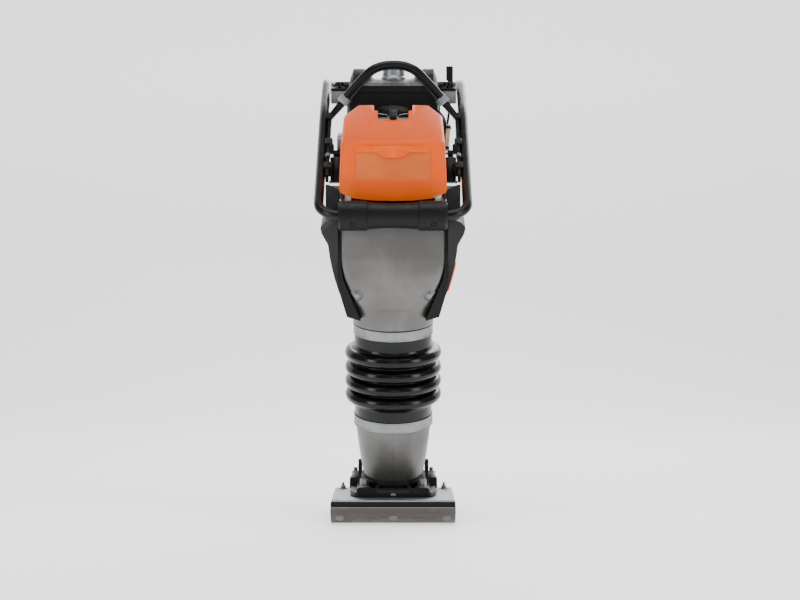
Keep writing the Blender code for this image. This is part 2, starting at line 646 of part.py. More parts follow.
# ---------------------------------------------------------------- the engine
def build_engine():
    low, high = (-0.058, 0.135, 0.545), (0.058, 0.2345, 0.665)
    block_piece = block("engine_block", low, high, CAST_GREY, ROOT, LEG, edge=0.008)
    shaft_ends = (0, 0.10, SHAFT_HEIGHT), (0, 0.30, SHAFT_HEIGHT)
    cut(block_piece, cylinder("shaft_bore", 0.0082, *shaft_ends, CAST_GREY, ROOT, LEG, sides=24))

    fins = 6
    low, high = 0.6653, 0.7450
    pitch = (high - low) / fins
    right_edge = []
    for i in range(fins):
        start = low + pitch * i
        fin_low, fin_high = start + 0.55 * pitch, start + pitch
        right_edge += [(0.034, start), (0.034, fin_low), (0.050, fin_low), (0.050, fin_high)]
    outline = right_edge + [(-x, s) for x, s in reversed(right_edge)]
    slab("engine_cylinder", outline, 0.080, front_view(0.188, LEG), CAST_GREY, ROOT)
    cover_low, cover_high = (-0.042, 0.152, high + GAP), (0.042, 0.224, 0.771)
    block("rocker_cover", cover_low, cover_high, COVER_GREY, ROOT, LEG, edge=0.007)

    boot = [(0, 0.036), (0.008, 0.036), (0.010, 0.030), (0.010, 0.008)]
    boot += [(0.013, 0.006), (0.013, 0), (0, 0)]
    boot_place = axis_place((0, 0.2284, 0.720), (0, 1, 0), LEG)
    turned("spark_plug_cap", boot, boot_place, RUBBER, ROOT, closed=False, steps=16)

    muffler_low, muffler_high = (-0.120, 0.171, 0.690), (-0.064, 0.236, 0.765)
    muffler = block("muffler", muffler_low, muffler_high, WORN_STEEL, ROOT, LEG, edge=0.012)
    pipe_ends = (-0.0505, 0.188, 0.728), (-0.080, 0.188, 0.728)
    join(muffler, cylinder("exhaust_pipe", 0.014, *pipe_ends, WORN_STEEL, ROOT, LEG, sides=16))
    guard = block("muffler_guard", (-0.130, 0.167, 0.686), (-0.105, 0.240, 0.771), ZINC, ROOT, LEG)
    inside_low, inside_high = (-0.1275, 0.1695, 0.6885), (-0.095, 0.2375, 0.7685)
    cut(guard, block("guard_inside", inside_low, inside_high, ZINC, ROOT, LEG))

    body_low, body_high = (0.0505, 0.168, 0.672), (0.100, 0.204, 0.708)
    carburettor = block("carburettor", body_low, body_high, CAST_GREY, ROOT, LEG, edge=0.003)
    bowl_ends = (0.080, 0.186, 0.650), (0.080, 0.186, 0.680)
    join(carburettor, cylinder("float_bowl", 0.016, *bowl_ends, CAST_GREY, ROOT, LEG, sides=16))
    duct = [Vector((0.080, 0.186, 0.7085))]
    bends = [(0.186, 0.722), (0.180, 0.735), (0.169, 0.744), (0.155, 0.747), (0.1365, 0.747)]
    duct += [Vector((0.080, y, s)) for y, s in bends]
    tube("intake_duct", duct, 0.014, RUBBER, ROOT, LEG, resolution=2)

    hub_ends = (0.1003, 0.186, 0.700), (0.105, 0.186, 0.700)
    choke = joint_empty("choke_lever_swing", hub_ends[0], LEG)
    lever = cylinder("choke_lever", 0.006, *hub_ends, PLASTIC, choke, LEG, sides=16)
    arm_low, arm_high = (0.1025, 0.1835, 0.700), (0.105, 0.1885, 0.726)
    join(lever, block("choke_arm", arm_low, arm_high, PLASTIC, choke, LEG))


def build_starter():
    profile = [(0, 0.284), (0.062, 0.284), (0.074, 0.268), (0.074, 0.2350)]
    profile += [(0.0705, 0.2350), (0.0705, 0.267), (0.060, 0.2805), (0, 0.2805)]
    place = along_shaft(SHAFT_HEIGHT)
    cover = turned("starter_cover", profile, place, PLASTIC, ROOT, closed=False, steps=24)
    rope_line = (-0.045, 0.0, 0.640)
    slot_ends = (rope_line[0], 0.27, rope_line[2]), (rope_line[0], 0.30, rope_line[2])
    cut(cover, cylinder("rope_hole", 0.0045, *slot_ends, PLASTIC, ROOT, LEG, sides=12))
    grip_joint = joint_empty("starter_grip_pull", (rope_line[0], 0.290, rope_line[2]), LEG)
    low, high = (-0.070, 0.2855, 0.632), (-0.020, 0.3025, 0.648)
    grip = block("starter_grip", low, high, PLASTIC, grip_joint, LEG, edge=0.004)
    rope_ends = (rope_line[0], 0.264, rope_line[2]), (rope_line[0], 0.290, rope_line[2])
    join(grip, cylinder("rope", 0.0022, *rope_ends, PLASTIC, grip_joint, LEG, sides=8))


# ---------------------------------------------------------------- the air filter
COVER_HINGE = (0, -0.196, 0.734)
COVER = joint_empty("filter_cover_tilt", COVER_HINGE)
LATCH = joint_empty("cover_latch_swing", (0, -0.088, 0.916))


def build_filter():
    base = [(-0.186, 0.7155), (-0.088, 0.7415), (-0.071, 0.7460), (-0.0455, 0.902), (-0.0505, 0.903)]
    base += [(-0.079, 0.758), (-0.188, 0.729)]
    slab("filter_base", base, 0.186, side_view(0), PLASTIC, ROOT)
    block("filter_element", (-0.085, -0.028, 0.6715), (0.085, 0.072, 0.750), PAPER, ROOT, LEG, edge=0.004)


def tapered(outline, x_low, x_high, z_low, z_high):
    """A wedge-sided solid: a (y, z) outline whose half width runs from x_low to x_high going up."""
    bm = bmesh.new()
    rings = []
    for sign in (-1, 1):
        side = []
        for y, z in outline:
            share = (z - z_low) / (z_high - z_low)
            side.append(bm.verts.new((sign * (x_low + (x_high - x_low) * share), y, z)))
        rings.append(side)
        bm.faces.new(side)
    count = len(outline)
    for i in range(count):
        following = (i + 1) % count
        bm.faces.new((rings[0][i], rings[0][following], rings[1][following], rings[1][i]))
    return bm


def build_filter_cover():
    bottom, top = 0.7335, 0.951
    outer = [(-0.0665, 0.7495), (-0.125, bottom), (-0.200, bottom), (-0.222, 0.780)]
    outer += [(-0.2110, 0.8530), (-0.0400, top), (-0.0310, top)]
    below, under_top = bottom - 0.02, top - 0.0045
    inner = [(-0.0300, below), (-0.1960, below), (-0.1968, bottom), (-0.2180, 0.780), (-0.2075, 0.8505)]
    inner += [(-0.0420, under_top), (0.0200, under_top), (0.0200, below)]
    mesh = mesh_from(tapered(outer, 0.120, 0.1118, bottom, top), "filter_cover")
    cover = add_piece("filter_cover", mesh, WORLD, ORANGE, COVER)
    bevel(cover, 0.006, 2)
    hollow = mesh_from(tapered(inner, 0.1165, 0.1080, bottom, top), "cover_inside")
    cut(cover, add_piece("cover_inside", hollow, WORLD, ORANGE, COVER))
    notch = block("latch_notch", (-0.033, -0.095, 0.880), (0.033, 0.02, 1.0), ORANGE, COVER)
    cut(cover, notch)

    def cut_shoulder(side, sign):
        corner = [(sign * 0.070, 0.960), (sign * 0.130, 0.905), (sign * 0.130, 0.960)]
        cut(cover, slab(f"shoulder_{side}", corner, 0.3, front_view(-0.05), ORANGE, COVER))

    both_sides(cut_shoulder)

    strap_low, strap_high = (-0.0065, -0.0900, 0.9110), (0.0065, -0.0500, 0.9210)
    strap = block("cover_latch", strap_low, strap_high, RUBBER, LATCH, edge=0.002)
    bar_low, bar_high = (-0.031, -0.060, 0.9080), (0.031, -0.048, 0.9240)
    join(strap, block("latch_bar", bar_low, bar_high, RUBBER, LATCH, edge=0.003))


build_crankcase()
build_bell_housing()
build_guide()
both_sides(build_side_cover)
build_engine()
build_starter()
build_filter()
build_filter_cover()

# ---------------------------------------------------------------- the handle frame
FRAME = joint_empty("handle_frame_flex", (0, MOUNT_Y, 0.800))
LEVER_AT = (0.137, 0.250, 1.006)
THROTTLE = joint_empty("throttle_lever_swing", LEVER_AT)
CAP_AT = (0.0, 0.225, 1.0705)
CAP = joint_empty("fuel_cap_lift", CAP_AT)
TAP_AT = (-0.060, 0.118, 0.9225)
TAP = joint_empty("fuel_tap_turn", TAP_AT)
FRONT_SLOPE = (FRAME_KNEE - FRAME_FRONT).normalized()
CROSS_TUBE_END = CORNER_R + 0.010  # how far up the slope the front tube's ends reach


def build_frame_tubes():
    def on_front(x, along):
        return Vector((x, 0, 0)) + FRAME_FRONT + FRONT_SLOPE * along

    half = FRAME_X - CORNER_R
    turns = [math.radians(15 * i) for i in range(7)]
    corner = [(half + CORNER_R * math.sin(a), CORNER_R * (1 - math.cos(a))) for a in turns]
    right = [on_front(x, along) for x, along in corner] + [on_front(FRAME_X, CROSS_TUBE_END)]
    left = [Vector((-p.x, p.y, p.z)) for p in reversed(right)]
    tube("front_cross_tube", left + right, TUBE_R, TUBE_BLACK, FRAME)

    def add_side(side, sign):
        start = on_front(0, CROSS_TUBE_END + GAP)
        into, out = (FRAME_KNEE - start).normalized(), (FRAME_BEND - FRAME_KNEE).normalized()
        back = (FRAME_REAR_END - FRAME_BEND).normalized()
        path = [start, FRAME_KNEE - into * 0.030, FRAME_KNEE - (into - out) * 0.004]
        path += [FRAME_KNEE + out * 0.030, FRAME_BEND - out * 0.040]
        path += [FRAME_BEND - out * 0.014 + back * 0.002]
        path += [FRAME_BEND + back * 0.018, FRAME_REAR_END]
        x = Vector((sign * FRAME_X, 0, 0))
        tube(f"handle_tube_{side}", [x + p for p in path], TUBE_R, TUBE_BLACK, FRAME)

    both_sides(add_side)
    rear_y = HANDLE_REAR_Y - FRAME_REAR_END.y
    back = (FRAME_REAR_END - FRAME_BEND).normalized()
    bend_y = rear_y - CORNER_R
    bend = [(half + CORNER_R * math.cos(a), bend_y + CORNER_R * math.sin(a)) for a in turns]
    right = [Vector((x, 0, 0)) + FRAME_REAR_END + back * along for x, along in [(FRAME_X, GAP)] + bend]
    left = [Vector((-p.x, p.y, p.z)) for p in reversed(right)]
    tube("rear_handle", right + left, TUBE_R, TUBE_BLACK, FRAME)
    grip_place = axis_place((0, right[-1].y, right[-1].z), (1, 0, 0))
    grip = [(0.0155, 0.095), (0.0155, -0.095), (TUBE_R + GAP, -0.095), (TUBE_R + GAP, 0.095)]
    turned("rear_grip", grip, grip_place, RUBBER, FRAME, steps=16)


def build_bumper():
    """The front roll: two sleeves at the ends of a slightly waisted middle, round the front tube."""
    half_middle, end = 0.056, 0.1195
    profile = [(0.0305, end), (0.033, end - 0.003), (0.033, half_middle), (0.0288, half_middle)]
    profile += [(0.0275, 0), (0.0288, -half_middle), (0.033, -half_middle)]
    profile += [(0.033, -end + 0.003), (0.0305, -end), (0.0135, -end), (0.0135, end)]
    place = axis_place(FRAME_FRONT, (1, 0, 0))
    turned("front_bumper", profile, place, PLASTIC, FRAME, steps=24)


def build_hoop():
    """The lifting hoop: a round bar arch whose ends meet flat legs inside the side tubes."""
    arc_r, diagonal, peak = 0.075, math.radians(50), 1.053
    end_x = 0.1310
    arc_x = arc_r * math.sin(diagonal)
    arc_z = peak - arc_r * (1 - math.cos(diagonal))
    end_z = arc_z - (end_x - arc_x) * math.tan(diagonal)
    outline = [(-end_x, end_z)]
    for i in range(9):
        a = diagonal * (i / 4 - 1)
        outline.append((arc_r * math.sin(a), peak - arc_r * (1 - math.cos(a))))
    outline.append((end_x, end_z))
    points = [(x, 0.050 + 0.020 * (peak - z) / (peak - end_z), z) for x, z in outline]
    tube("lifting_hoop", points, 0.0120, TUBE_BLACK, FRAME)

    across = Vector((0, -FRONT_SLOPE.z, FRONT_SLOPE.y)) * 0.010
    low, high = FRAME_FRONT + FRONT_SLOPE * 0.150, FRAME_FRONT + FRONT_SLOPE * 0.425

    def add_leg(side, sign):
        corners = [low - across, high - across, high + across, low + across]
        outline = [(p.y, p.z) for p in corners]
        leg_place = side_view(sign * 0.1490)
        leg = as_mesh(slab(f"hoop_leg_{side}", outline, 0.007, leg_place, TUBE_BLACK, FRAME))
        for share in (0.18, 0.46):
            at = low.lerp(high, share)
            inner_x, outer_x = sorted((sign * 0.1365, sign * 0.1470))
            clamp_low = (inner_x, at.y - 0.014, at.z - 0.011)
            clamp_high = (outer_x, at.y + 0.014, at.z + 0.011)
            clamp_name = f"hoop_clamp_{side}_{share}"
            join(leg, block(clamp_name, clamp_low, clamp_high, CAST_BLACK, FRAME, edge=0.002))
        inner_x, outer_x = sorted((sign * 0.114, sign * 0.1470))
        tab_low, tab_high = (inner_x, -0.048, 0.8385), (outer_x, -0.018, 0.8425)
        join(leg, block(f"mount_tab_{side}", tab_low, tab_high, TUBE_BLACK, FRAME))

    both_sides(add_leg)


def build_rubber_mount(side, sign):
    profile = [(0, 0.072), (0.007, 0.072), (0.007, 0.058), (0.0155, 0.058), (0.0163, 0.050)]
    profile += [(0.0145, 0.028), (0.0163, 0.006), (0.0155, 0), (0, 0)]
    place = Matrix.Translation((sign * MOUNT_X, MOUNT_Y, MOUNT_LOW + GAP))
    turned(f"rubber_mount_{side}", profile, place, RUBBER, ROOT, closed=False, steps=20)


def build_tank():
    outline = [(0.108, 0.935), (0.100, 0.990), (0.106, 1.012), (0.120, 1.022), (0.160, 1.050)]
    outline += [(0.185, 1.070), (0.275, 1.070), (0.292, 1.050), (0.295, 0.960), (0.280, 0.935)]
    bm = bmesh.new()
    rings = []
    for x in (-0.106, -0.094, 0.094, 0.106):
        squeeze = 0.010 if abs(x) > 0.1 else 0
        middle_y, middle_z = 0.198, 1.0
        ring_points = []
        for y, z in outline:
            inward = Vector((middle_y - y, middle_z - z)).normalized() * squeeze
            ring_points.append(bm.verts.new((x, y + inward.x, z + inward.y)))
        rings.append(ring_points)
    count = len(outline)
    for first, second in zip(rings, rings[1:]):
        for i in range(count):
            following = (i + 1) % count
            bm.faces.new((first[i], first[following], second[following], second[i]))
    bm.faces.new(rings[0])
    bm.faces.new(rings[-1])
    tank = add_piece("fuel_tank", mesh_from(bm, "fuel_tank"), WORLD, PLASTIC, FRAME)
    mouth_ends = (CAP_AT[0], CAP_AT[1], 1.028), (CAP_AT[0], CAP_AT[1], 1.090)
    cut(tank, cylinder("tank_mouth", 0.0195, *mouth_ends, PLASTIC, FRAME))
    cap = [(0, 0.0150), (0.022, 0.0150), (0.024, 0.0120), (0.024, 0.0003), (0.0165, 0.0003)]
    cap += [(0.0165, -0.012), (0, -0.012)]
    turned("fuel_cap", cap, Matrix.Translation(CAP_AT), PLASTIC, CAP, closed=False, steps=20)

    bar = block("tank_bracket", (-0.1525, 0.180, 0.9265), (0.1525, 0.215, 0.9345), ZINC, FRAME)

    def add_upright(side, sign):
        low_x, high_x = sorted((sign * 0.1085, sign * 0.1125))
        low, high = (low_x, 0.185, 0.930), (high_x, 0.210, 0.990)
        upright = block(f"upright_{side}", low, high, ZINC, FRAME)
        low_x, high_x = sorted((sign * 0.1085, sign * 0.1510))
        shelf = block(f"shelf_{side}", (low_x, 0.185, 0.986), (high_x, 0.210, 0.990), ZINC, FRAME)
        knob_at = (sign * 0.130, 0.1975, 0.988)
        knob_top = (knob_at[0], knob_at[1], 1.008)
        knob = cylinder(f"knob_{side}", 0.010, knob_at, knob_top, ZINC, FRAME, sides=12)
        join(bar, upright, shelf, knob)
        if side == "right":
            join(bar, block("lever_ear", (0.1465, 0.205, 0.986), (0.1510, 0.258, 1.014), ZINC, FRAME))

    both_sides(add_upright)

    tap_ends = (-0.060, 0.118, 0.9215), (-0.060, 0.118, 0.9345)
    tap = cylinder("fuel_tap", 0.008, *tap_ends, ZINC, TAP, sides=16)
    join(tap, block("tap_arm", (-0.0620, 0.098, 0.9220), (-0.0580, 0.118, 0.9280), ZINC, TAP))


# From under the lever, behind the tank bracket, down beside the tank and forward to the carburettor.
CABLE_ROUTE = [
    (0.1370, 0.245, 0.990),
    (0.1340, 0.240, 0.955),
    (0.1280, 0.215, 0.917),
    (0.1230, 0.160, 0.900),
    (0.1200, 0.100, 0.892),
    (0.1120, 0.055, 0.872),
    (0.0980, 0.032, 0.836),
]


def smooth_route(route, between):
    """Points on a Catmull-Rom curve through a route, with some points between each two."""
    ends = [Vector(route[0]) * 2 - Vector(route[1])] + [Vector(p) for p in route]
    ends.append(Vector(route[-1]) * 2 - Vector(route[-2]))
    points = []
    for a, b, c, d in zip(ends, ends[1:], ends[2:], ends[3:]):
        for i in range(between):
            t = i / between
            squared, cubed = 2 * a - 5 * b + 4 * c - d, 3 * b - a - 3 * c + d
            points.append((2 * b + (c - a) * t + squared * t**2 + cubed * t**3) / 2)
    return points + [Vector(route[-1])]


def build_throttle():
    x, y, z = LEVER_AT
    outline = [(x - 0.0060, z - 0.010), (x + 0.0055, z - 0.010), (x + 0.0080, z + 0.030)]
    outline += [(x + 0.0080, z + 0.070), (x - 0.0085, z + 0.070), (x - 0.0085, z + 0.038)]
    outline += [(x - 0.0030, z + 0.032)]
    slab("throttle_lever", outline, 0.008, front_view(y), PLASTIC, THROTTLE)
    tube("throttle_cable", smooth_route(CABLE_ROUTE, 3), 0.0030, PLASTIC, FRAME)


build_frame_tubes()
build_bumper()
build_hoop()
both_sides(build_rubber_mount)
build_tank()
build_throttle()
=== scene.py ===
"""The looks of the jumping jack rammer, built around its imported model.

Metres, +Z up, front towards -Y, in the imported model's own frame. The leg frame has its origin where
the leg meets the shoe, its +Z up along the leg, and leans forward.
"""

import json
import math

import bmesh
import bpy
from mathutils import Matrix, Vector

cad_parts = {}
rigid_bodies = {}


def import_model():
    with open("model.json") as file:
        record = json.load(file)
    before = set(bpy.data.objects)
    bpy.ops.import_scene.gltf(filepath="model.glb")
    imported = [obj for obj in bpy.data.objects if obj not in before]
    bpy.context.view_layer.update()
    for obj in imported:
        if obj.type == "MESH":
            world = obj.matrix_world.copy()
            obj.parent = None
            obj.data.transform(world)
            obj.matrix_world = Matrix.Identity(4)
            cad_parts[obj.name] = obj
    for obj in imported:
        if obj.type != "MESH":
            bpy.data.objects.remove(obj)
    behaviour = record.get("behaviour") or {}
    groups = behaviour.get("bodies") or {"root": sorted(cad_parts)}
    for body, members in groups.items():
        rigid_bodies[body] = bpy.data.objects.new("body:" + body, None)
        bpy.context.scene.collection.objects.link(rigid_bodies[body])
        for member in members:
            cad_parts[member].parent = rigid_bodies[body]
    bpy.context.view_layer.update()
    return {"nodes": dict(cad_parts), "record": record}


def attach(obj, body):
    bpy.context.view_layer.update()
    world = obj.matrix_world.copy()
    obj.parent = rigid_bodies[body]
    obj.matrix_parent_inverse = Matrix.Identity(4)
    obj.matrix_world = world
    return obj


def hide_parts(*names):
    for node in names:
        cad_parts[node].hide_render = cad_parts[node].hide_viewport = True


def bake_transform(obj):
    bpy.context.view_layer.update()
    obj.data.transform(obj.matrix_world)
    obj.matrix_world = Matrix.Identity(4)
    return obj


for old in list(bpy.data.objects):
    bpy.data.objects.remove(old, do_unlink=True)
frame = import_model()
NODES = frame["nodes"]


def mm(text):
    """Points in metres from their coordinates in millimetres."""
    return [tuple(round(float(n) / 1000, 7) for n in point.split(",")) for point in text.split()]


def shift(x, y, z):
    return Matrix.Translation((x, y, z))


# ---------------------------------------------------------------- driving dimensions
GAP = 0.0003  # between pieces that touch
LEAN = math.radians(15)
WORLD = Matrix.Identity(4)
RIGHT, BACK, FRONT = (1, 0, 0), (0, 1, 0), (0, -1, 0)
SHARP = 32  # degrees between faces that meet at a crisp edge
LEG = shift(0, 0.02, 0.09) @ Matrix.Rotation(LEAN, 4, "X")
ROUND = 96  # steps round a turned piece

SHOE_HALF = 0.14
BULGES = (0.3075, 0.2727, 0.2405, 0.2086)  # heights of the bellows' bulges up the leg
BULGE_R, BELLOWS_R, BELLOWS_NECK_R = 0.0138, 0.11, 0.0885
BELLOWS_ENDS = (0.1372, 0.3785)
SHAFT_HEIGHT = 0.6  # of the engine's shaft up the leg

TUBE_R = 0.011
FRAME_X = 0.164
FRAME_FRONT = Vector((0, -0.25, 0.688))
FRAME_KNEE = Vector((0, 0.107, 0.95))
FRAME_BEND = Vector((0, 0.28, 1.04))
FRAME_REAR_END = Vector((0, 0.4, 1.048))
HANDLE_REAR_Y = 0.46
CORNER_R = 0.05
FRONT_SLOPE = (FRAME_KNEE - FRAME_FRONT).normalized()


# ---------------------------------------------------------------- materials
class Look:
    """A procedural material: its Principled shader and the textures that feed it, in object space."""

    def __init__(self, name, colour, roughness, metallic=0.0, specular=0.5, coat=0.0):
        self.material = bpy.data.materials.new(name)
        self.material.use_nodes = True
        self.tree = self.material.node_tree
        self.shader = self.tree.nodes["Principled BSDF"]
        self.shader.inputs["Base Color"].default_value = (*colour, 1)
        self.shader.inputs["Roughness"].default_value = roughness
        self.shader.inputs["Metallic"].default_value = metallic
        self.shader.inputs["Specular IOR Level"].default_value = specular
        self.shader.inputs["Coat Weight"].default_value = coat
        self.shader.inputs["Coat Roughness"].default_value = 0.12
        self.colour = (*colour, 1)
        self.place = self.tree.nodes.new("ShaderNodeTexCoord").outputs["Object"]

    def node(self, kind, inputs, output=0, **settings):
        made = self.tree.nodes.new(kind)
        for key, value in settings.items():
            setattr(made, key, value)
        for key, value in inputs.items():
            if isinstance(value, bpy.types.NodeSocket):
                self.tree.links.new(value, made.inputs[key])
            else:
                made.inputs[key].default_value = value
        return made.outputs[output]

    def noise(self, size, stretch=(1, 1, 1), detail=3.0, distortion=0.0):
        """A noise of spots about this many metres across, longer along an axis with a stretch above 1."""
        scale = [1 / (size * s) for s in stretch]
        place = self.node("ShaderNodeMapping", {"Vector": self.place, "Scale": scale})
        inputs = {"Vector": place, "Scale": 1.0, "Detail": detail, "Distortion": distortion}
        return self.node("ShaderNodeTexNoise", inputs)

    def band(self, value, low, high, to_low=0.0, to_high=1.0):
        """A value mapped smoothly from one range to another."""
        inputs = {"Value": value, "From Min": low, "From Max": high, "To Min": to_low, "To Max": to_high}
        return self.node("ShaderNodeMapRange", inputs, interpolation_type="SMOOTHSTEP")

    def tint(self, share, colour):
        """Mixes a colour over the base colour by a share from a texture."""
        base = self.shader.inputs["Base Color"]
        below = base.links[0].from_socket if base.is_linked else self.colour
        mixed = self.node("ShaderNodeMixRGB", {"Fac": share, "Color1": below, "Color2": (*colour, 1)})
        self.tree.links.new(mixed, base)
        return self

    def rough(self, value):
        self.tree.links.new(value, self.shader.inputs["Roughness"])
        return self

    def bump(self, height, depth, strength=1.0):
        """Adds relief of a depth in metres on top of what is there."""
        normal = self.shader.inputs["Normal"]
        inputs = {"Height": height, "Distance": depth, "Strength": strength}
        if normal.is_linked:
            inputs["Normal"] = normal.links[0].from_socket
        self.tree.links.new(self.node("ShaderNodeBump", inputs), normal)
        return self

    def edges(self, low=0.52, high=0.6):
        """A share that is high on sharp outer edges."""
        pointed = self.node("ShaderNodeNewGeometry", {}, "Pointiness")
        return self.band(pointed, low, high)


def cast_look(name, dark, light, roughness=0.42, blotch=0.09, shine=0.85):
    look = Look(name, dark, roughness, metallic=shine)
    blotches = look.noise(blotch, (1, 1, 1.4), detail=3, distortion=0.3)
    look.tint(look.band(blotches, 0.3, 0.72), light)
    fine = look.noise(0.005, detail=4)
    look.tint(look.band(fine, 0.56, 0.76, 0, 0.22), [c * 0.6 for c in dark])
    look.rough(look.band(blotches, 0.3, 0.7, roughness + 0.06, roughness - 0.05))
    look.bump(look.noise(0.0024, detail=4), 0.00012, 0.45)
    return look


def plated_look(name, colour, roughness):
    look = Look(name, colour, roughness, metallic=0.95)
    cloud = look.noise(0.02, detail=4)
    look.tint(look.band(cloud, 0.35, 0.75, 0, 0.6), (colour[0] * 0.78, colour[1] * 0.8, colour[2] * 0.86))
    look.rough(look.band(look.noise(0.008, detail=5), 0.3, 0.7, roughness - 0.06, roughness + 0.14))
    look.bump(look.noise(0.0016, (6, 1, 1), detail=3), 0.00008, 0.5)
    return look


def moulded_look(name, colour, roughness, grain=0.0009, depth=0.00007, worn=None):
    """Moulded plastic: a fine spark-eroded grain, faint cloudiness and, if asked, paler rubbed edges."""
    look = Look(name, colour, roughness, specular=0.19)
    cloud = look.noise(0.06, detail=3)
    look.tint(look.band(cloud, 0.35, 0.75, 0, 0.5), [c * 0.72 for c in colour])
    if worn:
        look.tint(look.node("ShaderNodeMath", {0: look.edges(), 1: 0.5}, operation="MULTIPLY"), worn)
    look.rough(look.band(look.noise(0.012, detail=4), 0.3, 0.7, roughness - 0.05, roughness + 0.08))
    look.bump(look.noise(grain, detail=2), depth, 0.6)
    return look


def rubber_look(name, colour, roughness, dusty=0.3):
    look = Look(name, colour, roughness, specular=0.26)
    dust = look.band(look.noise(0.03, (1, 1, 0.4), detail=5), 0.55, 0.9, 0, dusty)
    look.tint(dust, (0.009, 0.0085, 0.008))
    look.rough(look.band(look.noise(0.02, detail=4), 0.3, 0.7, roughness - 0.04, roughness + 0.03))
    look.bump(look.noise(0.006, (1, 1, 0.5), detail=1), 0.00003, 0.2)
    return look


def worn_look():
    look = Look("worn_steel", (0.015, 0.011, 0.0105), 0.5, metallic=0.35)
    rust = look.noise(0.016, (2.2, 1, 0.8), detail=6, distortion=0.8)
    look.tint(look.band(rust, 0.48, 0.72), (0.036, 0.023, 0.018))
    scratches = look.noise(0.003, (18, 4, 1), detail=4)
    look.tint(look.band(scratches, 0.6, 0.78, 0, 0.6), (0.11, 0.096, 0.088))
    look.tint(look.edges(0.51, 0.6), (0.18, 0.16, 0.15))
    look.rough(look.band(rust, 0.3, 0.7, 0.34, 0.62))
    look.bump(scratches, 0.00018, 0.6)
    look.bump(rust, 0.0004, 0.4)
    return look


def enamel_look():
    look = Look("black_enamel", (0.003, 0.003, 0.0033), 0.33, specular=0.22)
    look.tint(look.band(look.noise(0.08, detail=2), 0.45, 0.85, 0, 0.3), (0.006, 0.006, 0.006))
    look.rough(look.band(look.noise(0.05, detail=1), 0.3, 0.7, 0.26, 0.32))
    look.bump(look.noise(0.006, detail=1), 0.00002, 0.12)
    return look


def orange_look():
    look = Look("orange_plastic", (0.76, 0.086, 0.001), 0.42, specular=0.16)
    look.tint(look.band(look.noise(0.08, detail=3), 0.35, 0.75, 0, 0.55), (0.68, 0.072, 0.001))
    look.tint(look.edges(0.53, 0.62), (0.86, 0.15, 0.01))
    look.rough(look.band(look.noise(0.01, detail=4), 0.3, 0.7, 0.31, 0.43))
    look.bump(look.noise(0.001, detail=2), 0.00006, 0.5)
    return look


def machined_look():
    look = Look("machined_steel", (0.33, 0.33, 0.34), 0.3, metallic=1.0)
    look.tint(look.band(look.noise(0.012, detail=4), 0.4, 0.75, 0, 0.6), (0.3, 0.29, 0.28))
    look.rough(look.band(look.noise(0.004, detail=4), 0.3, 0.7, 0.2, 0.38))
    look.bump(look.noise(0.0012, (8, 1, 1), detail=3), 0.00006, 0.5)
    return look


def paper_look():
    look = Look("filter_paper", (0.55, 0.46, 0.29), 0.85, specular=0.2)
    look.tint(look.band(look.noise(0.01, detail=5), 0.4, 0.75, 0, 0.5), (0.42, 0.34, 0.2))
    waves = {"Vector": look.place, "Scale": 55.0, "Distortion": 0.4}
    look.bump(look.node("ShaderNodeTexWave", waves, 1, bands_direction="X"), 0.002, 0.7)
    look.bump(look.noise(0.0006, detail=3), 0.00006, 0.5)
    return look


LOOKS = {
    "worn_steel": worn_look(),
    "zinc_steel": plated_look("zinc_steel", (0.235, 0.247, 0.252), 0.4),
    "cast_aluminium": cast_look("cast_aluminium", (0.116, 0.114, 0.109), (0.166, 0.162, 0.155)),
    "black_casting": moulded_look("black_casting", (0.004, 0.004, 0.0044), 0.42, 0.003, 0.00025,
                                  (0.05, 0.05, 0.05)),
    "rubber": rubber_look("rubber", (0.0018, 0.0018, 0.0019), 0.2),
    "black_plastic": moulded_look("black_plastic", (0.0036, 0.0036, 0.0038), 0.45),
    "grey_plastic": moulded_look("grey_plastic", (0.018, 0.0185, 0.02), 0.48, worn=(0.05, 0.05, 0.05)),
    "orange_plastic": orange_look(),
    "black_enamel": enamel_look(),
    "machined_steel": machined_look(),
    "filter_paper": paper_look(),
}
NECK_LOOK = rubber_look("rubber_dull", (0.0035, 0.0035, 0.0038), 0.5, 0.3)
# A darker copy of the cast aluminium, used as painted shade: the dark rings along the crankcase's bottom edge
# and at the top of the leg's cup.
PAINTED_SHADE_CAST = cast_look("cast_painted_shade", (0.03, 0.03, 0.032), (0.06, 0.06, 0.062), 0.55)
FADED_ORANGE = moulded_look("orange_faded", (0.6, 0.12, 0.022), 0.5, worn=(0.66, 0.15, 0.04))
EXTRA = {"rubber_dull": NECK_LOOK, "cast_painted_shade": PAINTED_SHADE_CAST, "orange_faded": FADED_ORANGE}


# ---------------------------------------------------------------- modelling helpers
def new_object(name, data):
    made = bpy.data.objects.new(name, data)
    bpy.context.scene.collection.objects.link(made)
    return made


def bridge(bm, first, second):
    """Faces between two closed rows of as many vertices."""
    for i in range(len(first)):
        j = (i + 1) % len(first)
        bm.faces.new((first[i], first[j], second[j], second[i]))


def look_of(name):
    return (LOOKS | EXTRA)[name].material


def add_piece(name, mesh, look, body, place=WORLD, replaces=(), slot=None, smooth=SHARP):
    """Bakes the placement into the mesh, paints it and lets it ride on a body."""
    mesh.transform(place)
    mesh.shade_smooth()
    mesh.set_sharp_from_angle(angle=math.radians(smooth))
    mesh.materials.clear()
    mesh.materials.append(look_of(look))
    piece = new_object(name, mesh)
    if body:
        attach(piece, body)
    if replaces:
        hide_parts(*replaces)
    return piece


def mesh_of(bm, name):
    bmesh.ops.recalc_face_normals(bm, faces=bm.faces)
    mesh = bpy.data.meshes.new(name)
    bm.to_mesh(mesh)
    bm.free()
    return mesh


def rounded(bm, width, segments=3, angle=30):
    """Bevels every edge sharper than an angle."""
    sharp = [e for e in bm.edges if e.is_manifold and e.calc_face_angle(0) > math.radians(angle)]
    if width:
        bmesh.ops.bevel(bm, geom=sharp, offset=width, segments=segments, profile=0.6, affect="EDGES",
                        clamp_overlap=True)
    return bm


